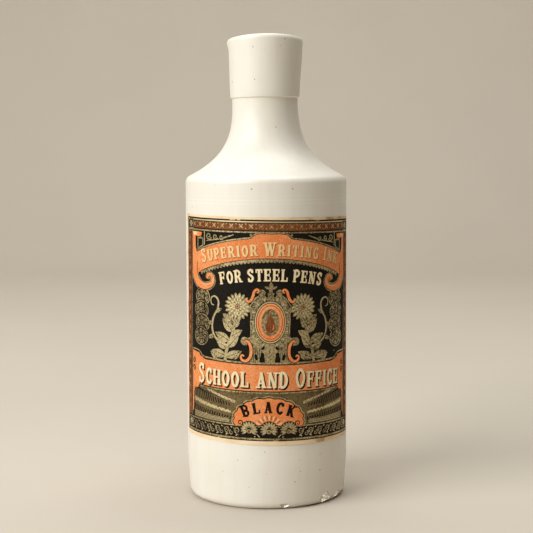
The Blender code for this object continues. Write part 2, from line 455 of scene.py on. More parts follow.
def finish_piece(name, mesh, materials, sharp_degrees=35.0):
    """Turns a bmesh into a shown object at the origin."""
    data = bpy.data.meshes.new(name)
    mesh.to_mesh(data)
    mesh.free()
    data.shade_smooth()
    data.set_sharp_from_angle(angle=math.radians(sharp_degrees))
    for material in materials:
        data.materials.append(material)
    made = bpy.data.objects.new(name, data)
    bpy.context.scene.collection.objects.link(made)
    return made


def arc(centre, radius, start, end, steps=8):
    """Points of a round corner in the (radius, height) plane, its angles in degrees from +X."""
    points = []
    for step in range(steps + 1):
        angle = math.radians(start + (end - start) * step / steps)
        points.append((centre[0] + radius * math.cos(angle), centre[1] + radius * math.sin(angle)))
    return points


def sweep(start, start_handle, end_handle, end, steps=26):
    """Points of one cubic curve from start to end, without its first point."""
    points = []
    for step in range(1, steps + 1):
        t = step / steps
        s = 1.0 - t
        weights = (s ** 3, 3.0 * s * s * t, 3.0 * s * t * t, t ** 3)
        corners = (start, start_handle, end_handle, end)
        points.append(tuple(sum(w * c[axis] for w, c in zip(weights, corners)) for axis in (0, 1)))
    return points


def divide_runs(profile, longest):
    """Adds points to a profile so that no straight run is longer than longest."""
    points = [profile[0]]
    for start, end in zip(profile, profile[1:]):
        pieces = max(1, math.ceil(math.dist(start, end) / longest))
        for piece in range(1, pieces + 1):
            share = piece / pieces
            points.append((start[0] + (end[0] - start[0]) * share, start[1] + (end[1] - start[1]) * share))
    return points


def outer_profile():
    """The outside, from the flat rim down to the edge of the flat foot."""
    collar_radius = NECK_RADIUS + COLLAR_STEP
    rim_radius = collar_radius + COLLAR_FLARE
    points = [
        (rim_radius - RIM_ROUND + RIM_ROUND * x, RIM_HEIGHT - RIM_FALL + RIM_FALL * z)
        for x, z in arc((0.0, 0.0), 1.0, 90.0, 0.0)
    ]
    points += arc(
        (collar_radius - COLLAR_EDGE_ROUND, COLLAR_BOTTOM + COLLAR_EDGE_ROUND),
        COLLAR_EDGE_ROUND, 0.0, -90.0, steps=4,
    )
    # Glaze pools in the corner under the collar.
    points += arc((NECK_RADIUS + 0.0003, COLLAR_BOTTOM - 0.0003), 0.0003, 90.0, 180.0, steps=3)
    points.append((NECK_RADIUS, NECK_HEIGHT))
    edge = arc((BARREL_RADIUS - SHOULDER_ROUND, BARREL_HEIGHT), SHOULDER_ROUND,
               90.0 - math.degrees(SHOULDER_SLOPE), 0.0, steps=10)
    handle = (
        edge[0][0] - SHOULDER_REACH * math.cos(SHOULDER_SLOPE),
        edge[0][1] + SHOULDER_REACH * math.sin(SHOULDER_SLOPE),
    )
    points += sweep((NECK_RADIUS, NECK_HEIGHT), (NECK_RADIUS, NECK_HEIGHT - NECK_REACH), handle, edge[0])
    points += edge[1:]
    points.append((BARREL_RADIUS, TAPER_HEIGHT))
    flat_radius = BARREL_RADIUS - FOOT_DRAW_IN - FOOT_ROUND
    points += arc((flat_radius, FOOT_ROUND), FOOT_ROUND, 0.0, -90.0, steps=10)
    return points


def inner_profile():
    """The inside, from the middle of the floor up to the flat rim."""
    inner_radius = BARREL_RADIUS - WALL
    points = [(0.0, FLOOR)]
    points += arc(
        (inner_radius - INNER_CORNER_ROUND, FLOOR + INNER_CORNER_ROUND), INNER_CORNER_ROUND, -90.0, 0.0, 6
    )
    points.append((inner_radius, BARREL_HEIGHT - WALL))
    foot = (
        BARREL_RADIUS - SHOULDER_ROUND - WALL * math.sin(SHOULDER_SLOPE),
        BARREL_HEIGHT + SHOULDER_ROUND - WALL,
    )
    handle = (
        foot[0] - SHOULDER_REACH * math.cos(SHOULDER_SLOPE),
        foot[1] + SHOULDER_REACH * math.sin(SHOULDER_SLOPE),
    )
    points.append(foot)
    throat = (BORE_RADIUS, NECK_HEIGHT)
    points += sweep(foot, handle, (BORE_RADIUS, NECK_HEIGHT - NECK_REACH), throat, steps=14)
    points.append((BORE_RADIUS, CORK_LOW.z))
    mouth = seat_radius(RIM_HEIGHT - MOUTH_ROUND)
    points += arc((mouth + MOUTH_ROUND, RIM_HEIGHT - MOUTH_ROUND), MOUTH_ROUND, 180.0, 90.0)
    return points


def seat_radius(height):
    """Radius of the cork's seat, which widens from the throat up to the rim."""
    share = (height - CORK_LOW.z) / (RIM_HEIGHT - CORK_LOW.z)
    return BORE_RADIUS + BORE_MOUTH_FLARE * max(0.0, min(1.0, share))


def spun(profile, segments):
    """A closed bmesh: the profile turned about the Z axis, its faces outwards."""
    mesh = bmesh.new()
    corners = [mesh.verts.new((radius, 0.0, height)) for radius, height in profile]
    edges = [mesh.edges.new(pair) for pair in zip(corners, corners[1:])]
    bmesh.ops.spin(
        mesh, geom=corners + edges, cent=(0.0, 0.0, 0.0), axis=(0.0, 0.0, 1.0),
        angle=math.tau, steps=segments, use_merge=True,
    )
    bmesh.ops.remove_doubles(mesh, verts=mesh.verts, dist=0.000005)
    bmesh.ops.recalc_face_normals(mesh, faces=mesh.faces)
    return mesh


def smooth_share(value, low, high):
    """0 below low, 1 above high, and a smooth rise between."""
    share = max(0.0, min(1.0, (value - low) / (high - low)))
    return share * share * (3.0 - 2.0 * share)


def hand_thrown(point, settings):
    """Where a point of the true turned shape lies on a bottle made by hand."""
    radius = math.hypot(point.x, point.y)
    if radius < 1e-6:
        return point
    angle = math.atan2(point.y, point.x)
    outward = 0.0
    outside = radius > NECK_RADIUS - 0.002
    if outside:
        outward += settings.wobble * noise.noise(point * 45.0)
        outward += 0.6 * settings.wobble * math.sin(2.0 * angle + 0.7)
        # The hollow that a thumb left under the rim while the clay was wet.
        turn = math.atan2(math.sin(angle - THUMB_TURN), math.cos(angle - THUMB_TURN))
        near = math.exp(-(turn / THUMB_REACH) ** 2)
        depth = RIM_HEIGHT - point.z
        outward -= settings.hollow * near * smooth_share(depth, -0.0005, 0.0052) * (
            1.0 - smooth_share(depth, 0.0040, THUMB_SPAN)
        )
    grow = (radius + outward) / radius
    # The collar was pressed on a little askew, and the rim more so.
    above_neck = smooth_share(point.z, COLLAR_LEAN_START, COLLAR_BOTTOM)
    up_collar = smooth_share(point.z, COLLAR_BOTTOM, RIM_HEIGHT)
    aside = settings.neck_aside * above_neck if outside else 0.0
    lean = math.tan(settings.collar_lean) * above_neck
    lean += (math.tan(settings.rim_lean) - math.tan(settings.collar_lean)) * up_collar
    sway = RIM_RIPPLE * up_collar * noise.noise(Vector((point.x, point.y, 0.0)) * 90.0)
    sway -= up_collar * settings.rim_dip * (point.x / NECK_RADIUS) ** 2
    sway -= up_collar * point.y * math.tan(settings.rim_tilt)
    return Vector((point.x * grow - aside, point.y * grow, point.z + point.x * lean + sway))


def chip_block(name, turn, radius, height, size, facing, tilt, roll, material):
    """A rough block whose lower left edge, driven into the bottle at a turn from the front, strikes a flake
    off. The facet it leaves looks facing degrees to the right of the front and tilt degrees up, and roll
    leans the block over. All angles are in degrees."""
    mesh = bmesh.new()
    bmesh.ops.create_cube(mesh, size=1.0)
    bmesh.ops.translate(mesh, vec=(0.5, 0.5, 0.0), verts=mesh.verts)
    bmesh.ops.subdivide_edges(mesh, edges=mesh.edges[:], cuts=CHIP_CUTS, use_grid_fill=True)
    for corner in mesh.verts:
        corner.co += CHIP_ROUGHNESS * noise.noise_vector(corner.co * 3.0 + Vector((turn, turn, turn)))
        corner.co *= size
    bmesh.ops.triangulate(mesh, faces=mesh.faces[:])
    turned = math.radians(turn)
    look = math.radians(facing)
    up = math.radians(tilt)
    right = Vector((math.cos(look), math.sin(look), 0.0))
    outwards = Vector((math.sin(look) * math.cos(up), -math.cos(look) * math.cos(up), math.sin(up)))
    axes = Matrix((right, outwards, right.cross(outwards))).transposed()
    leaned = Matrix.Rotation(math.radians(roll), 3, outwards) @ axes
    place = Matrix.Translation((radius * math.sin(turned), -radius * math.cos(turned), height))
    bmesh.ops.transform(mesh, matrix=place @ leaned.to_4x4(), verts=mesh.verts)
    bmesh.ops.recalc_face_normals(mesh, faces=mesh.faces)
    data = bpy.data.meshes.new(name)
    mesh.to_mesh(data)
    mesh.free()
    data.materials.append(material)
    block = bpy.data.objects.new(name, data)
    bpy.context.scene.collection.objects.link(block)
    return block


def strike_off(piece, block):
    """Cuts a block out of a piece, and gives the cut faces the block's material."""
    cut = piece.modifiers.new("chip", "BOOLEAN")
    cut.operation = "DIFFERENCE"
    cut.solver = "EXACT"
    cut.material_mode = "TRANSFER"
    cut.object = block
    graph = bpy.context.evaluated_depsgraph_get()
    chipped = bpy.data.meshes.new_from_object(piece.evaluated_get(graph))
    if len(chipped.polygons) < 100:
        raise RuntimeError("the chip cut the whole bottle away")
    piece.modifiers.remove(cut)
    old = piece.data
    piece.data = chipped
    chipped.name = piece.name
    bpy.data.meshes.remove(old)
    bpy.data.objects.remove(block)


class INKBOTTLE_OT_bottle(bpy.types.Operator):
    """Build the glazed body with its chips."""

    bl_idname = "inkbottle.bottle"
    bl_label = "Glazed bottle"

    def execute(self, context):
        settings = context.scene.ink_bottle
        profile = [(0.0, 0.0)] + outer_profile()[::-1] + inner_profile()[::-1]
        mesh = spun(divide_runs(profile, settings.ring_gap), settings.segments)
        for face in mesh.faces:
            if face.calc_center_median().z < 0.0001:
                face.material_index = 1
        for corner in mesh.verts:
            corner.co = hand_thrown(corner.co, settings)
        raw = unglazed_stoneware(settings)
        broken = fresh_break(settings)
        bottle = finish_piece("bottle", mesh, [glazed_stoneware(settings), raw])
        foot = BARREL_RADIUS - FOOT_DRAW_IN
        rim = NECK_RADIUS + COLLAR_STEP + COLLAR_FLARE
        # Each block's turn from the front, the radius and height of its edge, its size, and its facet's
        # degrees to the right, degrees up and lean.
        chips = [
            ("foot_flake_large", 46.2, foot - 0.0028, -0.0004, 0.0056, 7.5, 18.0, 32.0),
            ("foot_flake_middle", 58.0, foot - 0.0028, -0.0002, 0.0034, 7.0, 18.0, 25.0),
            ("foot_flake_right", 64.0, foot - 0.0020, 0.0000, 0.0048, 8.0, 18.0, 22.0),
            ("foot_flake_small", 11.5, foot - 0.0020, 0.0000, 0.0032, -25.0, 20.0, 20.0),
            ("rim_nick", 36.0, rim - 0.0006, RIM_HEIGHT - 0.0004, 0.0016, -20.0, 10.0, 10.0),
        ]
        for chip in chips:
            strike_off(bottle, chip_block(*chip, broken))
        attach(bottle, "bottle")
        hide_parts("stoneware_body")
        return {"FINISHED"}


def wall_radius(height):
    """The true outer radius at a height."""
    run = outer_profile()
    for (upper_radius, upper), (lower_radius, lower) in zip(run, run[1:]):
        if lower <= height <= upper and upper > lower:
            share = (height - lower) / (upper - lower)
            return lower_radius + (upper_radius - lower_radius) * share
    raise ValueError("no wall at this height")


class INKBOTTLE_OT_specks(bpy.types.Operator):
    """Scatter the iron specks that came up through the glaze."""

    bl_idname = "inkbottle.specks"
    bl_label = "Iron specks"

    def execute(self, context):
        settings = context.scene.ink_bottle
        # The larger specks on the front: degrees to the right, height and width.
        spots = [
            (-9.7, 0.1446, 0.00062), (18.2, 0.1446, 0.00062), (16.6, 0.1722, 0.00055),
            (-17.7, 0.2081, 0.00055), (-16.4, 0.1938, 0.00050), (31.1, 0.2118, 0.00060),
            (-32.5, 0.0169, 0.00045), (-12.9, 0.0107, 0.00040), (39.9, 0.0166, 0.00060),
            (39.7, 0.0241, 0.00045), (23.1, 0.0226, 0.00045), (19.6, 0.0127, 0.00055),
            (-1.6, 0.0270, 0.00045), (-20.6, 0.0228, 0.00045),
        ]
        chance = random.Random(SPECK_SEED)
        for _spot in range(SPECKS_BEHIND):
            height = chance.uniform(0.008, 0.206)
            turn = chance.uniform(62.0, 298.0)
            spots.append((turn, height, chance.uniform(0.0003, 0.0006)))
        mesh = bmesh.new()
        for turn, height, width in spots:
            angle = math.radians(turn - 90.0)
            reach = wall_radius(height)
            slope = wall_radius(height + 0.0005) - wall_radius(height - 0.0005)
            outwards = Vector((math.cos(angle), math.sin(angle), -slope / 0.001)).normalized()
            on_true_wall = Vector((reach * math.cos(angle), reach * math.sin(angle), height))
            place = Matrix.LocRotScale(
                hand_thrown(on_true_wall, settings) + outwards * SPECK_LIFT,
                outwards.to_track_quat("Z", "Y"),
                Vector((width / 2.0, width / 2.0 * chance.uniform(0.7, 1.0), 1.0)),
            )
            bmesh.ops.create_circle(mesh, cap_ends=True, segments=10, radius=1.0, matrix=place)
        specks = finish_piece("iron_specks", mesh, [iron_speck(settings)])
        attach(specks, "bottle")
        return {"FINISHED"}


class INKBOTTLE_OT_cork(bpy.types.Operator):
    """Build the cork with its grain and pores."""

    bl_idname = "inkbottle.cork"
    bl_label = "Cork"

    def execute(self, context):
        settings = context.scene.ink_cork

        def cork_radius(height):
            return seat_radius(height) - CORK_CLEARANCE

        edge = CORK_EDGE_ROUND
        profile = [(0.0, CORK_LOW.z)]
        profile += arc((cork_radius(CORK_LOW.z) - edge, CORK_LOW.z + edge), edge, -90.0, 0.0, 4)
        profile += arc((cork_radius(CORK_HIGH.z) - edge, CORK_HIGH.z - edge), edge, 0.0, 90.0, 4)
        profile.append((0.0, CORK_HIGH.z))
        mesh = spun(divide_runs(profile, CORK_RING_GAP), CORK_SEGMENTS)
        for corner in mesh.verts:
            # Only inwards, so that the cork stays clear of its seat.
            grain = max(0.0, noise.fractal(corner.co * 420.0, 0.8, 2.1, 3)) * settings.roughness_depth
            seeds, _points = noise.voronoi(corner.co * 520.0)
            pit = max(0.0, 0.30 - seeds[0]) * 2.6 * settings.roughness_depth
            corner.co -= corner.normal * (grain + pit)
        cork = finish_piece("cork", mesh, [cut_cork(settings)], sharp_degrees=60.0)
        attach(cork, "cork")
        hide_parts("cork_stopper")
        return {"FINISHED"}


# ---- The flat print, in millimetres ----

BOTH = (1, -1)                  # the right half of the drawing, and its mirror image on the left


def press(plate, shape, level, side=1):
    """Adds a flat mesh to a colour's plate at its place in the order of printing, mirrored if side is -1."""
    raised = Matrix.Translation((0.0, 0.0, level * INK_STEP_MM))
    shape.transform(raised @ Matrix.Diagonal((side, 1.0, 1.0, 1.0)))
    plate.from_mesh(shape)
    bpy.data.meshes.remove(shape)


def mesh_of(data):
    """The mesh of a curve."""
    holder = bpy.data.objects.new("drawn", data)
    bpy.context.scene.collection.objects.link(holder)
    shape = bpy.data.meshes.new_from_object(holder)
    bpy.data.objects.remove(holder)
    return shape


def drawn(points, closed, width=None, steps=5):
    """A flat curve's mesh: filled where width is None, and otherwise a stroke of that width.

    A point is (x, y), or (x, y, "corner") where the curve has a corner. A stroke's points may end in a
    share of the width.
    """
    data = bpy.data.curves.new("drawn", "CURVE")
    data.dimensions = "2D" if width is None else "3D"
    data.resolution_u = steps
    if width is None:
        data.fill_mode = "BOTH"
    else:
        data.extrude = width / 2.0
        data.twist_mode = "Z_UP"
    spline = data.splines.new("BEZIER")
    spline.bezier_points.add(len(points) - 1)
    spline.use_cyclic_u = closed
    for knot, point in zip(spline.bezier_points, points):
        mark = point[2] if len(point) == 3 else None
        knot.co = (point[0], point[1], 0.0)
        kind = "VECTOR" if mark == "corner" else "AUTO"
        knot.handle_left_type = kind
        knot.handle_right_type = kind
        knot.tilt = math.pi / 2.0
        if isinstance(mark, float):
            knot.radius = mark
    shape = mesh_of(data)
    bpy.data.curves.remove(data)
    return shape


def fill(plate, level, points, sides=(1,)):
    for side in sides:
        press(plate, drawn(points, closed=True), level, side)


def stroke(plate, level, points, width, sides=(1,), closed=False, steps=5):
    for side in sides:
        press(plate, drawn(points, closed, width, steps), level, side)


def disc(plate, level, centre, radii, corners=20, turn_degrees=0.0):
    """A filled ellipse, or with few corners a diamond."""
    place = Matrix.LocRotScale(
        Vector((centre[0], centre[1], level * INK_STEP_MM)),
        Matrix.Rotation(math.radians(turn_degrees), 3, "Z"),
        Vector((radii[0], radii[1], 1.0)),
    )
    bmesh.ops.create_circle(plate, cap_ends=True, segments=corners, radius=1.0, matrix=place)


def twin_discs(plate, level, centre, radii, corners=20, turn_degrees=0.0):
    """A disc and its mirror image across the label's middle."""
    for side in BOTH:
        disc(plate, level, (side * centre[0], centre[1]), radii, corners, side * turn_degrees)


def box(plate, level, left, bottom, right, top):
    """A filled rectangle."""
    place = Matrix.LocRotScale(
        Vector(((left + right) / 2.0, (bottom + top) / 2.0, level * INK_STEP_MM)),
        None,
        Vector(((right - left) / 2.0, (top - bottom) / 2.0, 1.0)),
    )
    bmesh.ops.create_grid(plate, x_segments=1, y_segments=1, size=1.0, matrix=place)


def arch(middle, drop, reach):
    """The height of a low arch at x: middle at its crown, and drop lower at reach to either side."""
    return lambda x: middle - drop * (x / reach) ** 2


def along(curve, start, end, steps):
    """Points of an arch from x = start to x = end."""
    places = [start + (end - start) * step / steps for step in range(steps + 1)]
    return [(x, curve(x)) for x in places]


def around(centre, radii, count, start=0.0, step=None):
    """Places round an ellipse, evenly spaced unless a step is given: each one's angle in degrees, and its
    point."""
    for order in range(count):
        turn = start + order * (step or 360.0 / count)
        angle = math.radians(turn)
        yield turn, (centre[0] + radii[0] * math.cos(angle), centre[1] + radii[1] * math.sin(angle))


def ring(centre, radii):
    """Twelve points of an ellipse."""
    return [point for _turn, point in around(centre, radii, 12)]


def mirrored(half, foot=()):
    """A whole outline from its right half, which starts on the middle line. Points in foot stand between
    the two halves."""
    return half + list(foot) + [(-point[0], *point[1:]) for point in half[:0:-1]]


def cornered(*points):
    return [(x, y, "corner") for x, y in points]


def spiral(centre, radius, turns, start_degrees, direction=1, end_share=0.18, points=12):
    """Points of a curl that winds in from radius, with strokes that thin towards its eye."""
    made = []
    for step in range(points + 1):
        share = step / points
        angle = math.radians(start_degrees) + direction * math.tau * turns * share
        reach = radius * (1.0 - (1.0 - end_share) * share)
        x, y = centre[0] + reach * math.cos(angle), centre[1] + reach * math.sin(angle)
        made.append((x, y, 1.0 - 0.45 * share))
    return made


# Slab-serif capitals, one unit tall: the letter's width, its strokes as a share of the full weight and the
# curve's points, and where its serifs stand.
BOWL = [(0.12, 0.95), (0.34, 0.95), (0.49, 0.73), (0.34, 0.48), (0.12, 0.48)]
LOWER_BOWL = [(0.12, 0.50), (0.36, 0.50), (0.51, 0.27), (0.36, 0.05), (0.12, 0.05)]
FULL_BOWL = [(0.12, 0.95), (0.30, 0.95), (0.50, 0.70), (0.50, 0.30), (0.30, 0.05), (0.12, 0.05)]
RING = [(0.31, 0.95), (0.13, 0.70), (0.13, 0.30), (0.31, 0.05), (0.49, 0.30), (0.49, 0.70), (0.31, 0.95)]
HOOK = [
    (0.48, 0.74), (0.42, 0.91), (0.30, 0.95), (0.13, 0.70), (0.13, 0.30), (0.30, 0.05), (0.42, 0.09),
    (0.49, 0.27),
]
SNAKE = [
    (0.47, 0.75), (0.40, 0.92), (0.29, 0.95), (0.13, 0.76), (0.24, 0.57), (0.40, 0.44), (0.48, 0.25),
    (0.32, 0.05), (0.20, 0.08), (0.13, 0.27),
]
STEM = (1.0, [(0.13, 0.0), (0.13, 1.0)])
TOP_BAR = (0.55, [(0.10, 0.94), (0.50, 0.94)])
TOP_SPUR = (0.5, [(0.50, 0.68), (0.50, 1.0)])
LOW_BAR = (0.55, [(0.10, 0.06), (0.50, 0.06)])
LOW_SPUR = (0.5, [(0.51, 0.0), (0.51, 0.34)])
MIDDLE_BAR = (0.55, [(0.10, 0.51), (0.42, 0.51)])
MIDDLE_SPUR = (0.45, [(0.42, 0.38), (0.42, 0.64)])
LETTERS = {
    "A": (0.66, [(0.6, [(0.12, 0.0), (0.33, 1.0)]), (1.0, [(0.31, 1.0), (0.53, 0.0)]),
                 (0.5, [(0.18, 0.30), (0.46, 0.30)])], [(0.12, 0), (0.54, 0)]),
    "B": (0.63, [STEM, (0.8, BOWL), (0.85, LOWER_BOWL)], [(0.10, 0), (0.10, 1)]),
    "C": (0.60, [(0.9, HOOK), TOP_SPUR], []),
    "D": (0.62, [STEM, (0.9, FULL_BOWL)], [(0.10, 0), (0.10, 1)]),
    "E": (0.60, [STEM, TOP_BAR, TOP_SPUR, MIDDLE_BAR, MIDDLE_SPUR, LOW_BAR, LOW_SPUR], [(0.1, 0), (0.1, 1)]),
    "F": (0.58, [STEM, TOP_BAR, TOP_SPUR, MIDDLE_BAR, MIDDLE_SPUR], [(0.13, 0), (0.10, 1)]),
    "G": (0.64, [(0.9, HOOK), TOP_SPUR, (0.9, [(0.50, 0.04), (0.50, 0.42)]),
                 (0.5, [(0.36, 0.42), (0.60, 0.42)])], []),
    "H": (0.66, [STEM, (1.0, [(0.52, 0.0), (0.52, 1.0)]), (0.55, [(0.12, 0.51), (0.52, 0.51)])],
          [(0.13, 0), (0.13, 1), (0.52, 0), (0.52, 1)]),
    "I": (0.32, [(1.0, [(0.16, 0.0), (0.16, 1.0)])], [(0.16, 0), (0.16, 1)]),
    "K": (0.66, [STEM, (0.6, [(0.50, 1.0), (0.15, 0.42)]), (1.0, [(0.25, 0.58), (0.54, 0.0)])],
          [(0.13, 0), (0.13, 1), (0.51, 1), (0.55, 0)]),
    "L": (0.58, [STEM, LOW_BAR, LOW_SPUR], [(0.10, 0), (0.13, 1)]),
    "N": (0.68, [(0.6, STEM[1]), (1.0, [(0.14, 1.0), (0.52, 0.0)]), (0.6, [(0.55, 0.0), (0.55, 1.0)])],
          [(0.13, 0), (0.12, 1), (0.55, 1)]),
    "O": (0.62, [(0.9, RING)], []),
    "P": (0.60, [STEM, (0.85, BOWL)], [(0.13, 0), (0.10, 1)]),
    "R": (0.66, [STEM, (0.85, BOWL), (0.9, [(0.30, 0.48), (0.42, 0.34), (0.54, 0.02)])],
          [(0.13, 0), (0.10, 1), (0.57, 0)]),
    "S": (0.60, [(0.9, SNAKE), (0.45, [(0.49, 0.70), (0.49, 1.0)]), (0.45, [(0.11, 0.0), (0.11, 0.31)])], []),
    "T": (0.60, [(1.0, [(0.30, 0.0), (0.30, 1.0)]), (0.55, [(0.06, 0.94), (0.54, 0.94)]),
                 (0.5, [(0.07, 0.70), (0.07, 1.0)]), (0.5, [(0.53, 0.70), (0.53, 1.0)])], [(0.30, 0)]),
    "U": (0.64, [(0.9, [(0.13, 1.0), (0.13, 0.32), (0.32, 0.05), (0.51, 0.32), (0.51, 1.0)])],
          [(0.13, 1), (0.51, 1)]),
    "W": (0.90, [(1.0, [(0.12, 1.0), (0.29, 0.0)]), (0.6, [(0.29, 0.0), (0.45, 0.95)]),
                 (1.0, [(0.44, 0.95), (0.61, 0.0)]), (0.6, [(0.61, 0.0), (0.78, 1.0)])],
          [(0.12, 1), (0.45, 1), (0.78, 1)]),
}
SERIF_LONG = 0.30
SERIF_TALL = 0.10
WORD_SPACE = 0.34


def spelled(words, cap, weight, small, gap):
    """A flat mesh of the words on the line y = 0. Small letters become small capitals."""
    line = bmesh.new()
    pen = 0.0
    for mark in words:
        if mark == " ":
            pen += WORD_SPACE * cap
            continue
        tall = cap if mark.isupper() else cap * small
        width, strokes, serifs = LETTERS[mark.upper()]
        for share, points in strokes:
            shape = drawn([(pen + x * tall, y * tall) for x, y in points], False, weight * share, 4)
            line.from_mesh(shape)
            bpy.data.meshes.remove(shape)
        for x, y in serifs:
            foot = (1.0 - SERIF_TALL) * tall if y else 0.0
            reach = SERIF_LONG / 2.0 * tall
            box(line, 0, pen + x * tall - reach, foot, pen + x * tall + reach, foot + SERIF_TALL * tall)
        pen += (width + gap) * tall
    shape = bpy.data.meshes.new("words")
    line.to_mesh(shape)
    line.free()
    return shape


def lettered(words, middle, drop, width, cap, weight, small=1.0, gap=0.13):
    """Words on an arched line, its crown at middle: the letters fan out with the arch."""
    shape = spelled(words, cap, weight, small, gap)
    left = min(corner.co.x for corner in shape.vertices)
    right = max(corner.co.x for corner in shape.vertices)
    half = width / 2.0
    bend = (half * half + drop * drop) / (2.0 * drop)
    for corner in shape.vertices:
        across = ((corner.co.x - left) / (right - left) - 0.5) * width
        reach = bend + corner.co.y
        corner.co = (
            middle[0] + reach * math.sin(across / bend),
            middle[1] - bend + reach * math.cos(across / bend),
            0.0,
        )
    return shape


def shifted(shape, right, up):
    """A copy of a flat mesh, moved."""
    moved = shape.copy()
    moved.transform(Matrix.Translation((right, up, 0.0)))
    return moved


BORDER_PITCH_MM = 4.6


def print_border(ink):
    """The ground, the frieze at the top, the bands at the sides and the squares in the corners."""
    box(ink["black"], 1, -49.5, 30.9, 49.5, 130.0)
    box(ink["bright"], 2, -48.3, 128.75, 48.3, 129.3)
    box(ink["brown"], 2, -42.2, 125.3, 42.2, 128.4)
    box(ink["gold"], 2, -48.3, 124.1, 48.3, 124.75)
    for side in BOTH:
        box(ink["brown"], 2, side * 44.9, 38.4, side * 49.0, 124.1)
        box(ink["gold"], 2, side * 43.75, 38.4, side * 44.15, 124.1)
    # Small flowers along the frieze, and beads down the sides.
    for place in range(-9, 10):
        x = place * BORDER_PITCH_MM
        for turn, centre in around((x, 127.05), (0.75, 0.75), 4, 45.0):
            disc(ink["gold"], 3, centre, (0.58, 0.30), 10, turn)
        disc(ink["straw"], 4, (x, 127.05), (0.26, 0.26), 8)
        if place < 9:
            for lift in (-0.95, 0.95):
                disc(ink["gold"], 3, (x + BORDER_PITCH_MM / 2.0, 127.05 + lift), (0.32, 0.32), 8)
    for place in range(18):
        height = 42.0 + BORDER_PITCH_MM * place
        twin_discs(ink["gold"], 3, (46.75, height), (0.55, 0.75), 10)
        twin_discs(ink["brown"], 4, (46.75, height), (0.24, 0.36), 8)
        twin_discs(ink["black"], 3, (46.75, height + BORDER_PITCH_MM / 2.0), (1.05, 0.5), 4)
    for side in BOTH:
        for middle in (127.0, 35.4):
            for colour, level, half in (("gold", 3, 2.35), ("black", 4, 1.95)):
                box(ink[colour], level, side * 45.0 - half, middle - half, side * 45.0 + half, middle + half)
            for turn, centre in around((side * 45.0, middle), (1.0, 1.0), 6):
                disc(ink["bright"], 5, centre, (0.72, 0.36), 10, turn)
            disc(ink["brown"], 6, (side * 45.0, middle), (0.4, 0.4), 10)


UPPER_EDGE = arch(121.9, 7.8, 40.0)
LOWER_EDGE = arch(112.7, 8.6, 40.0)


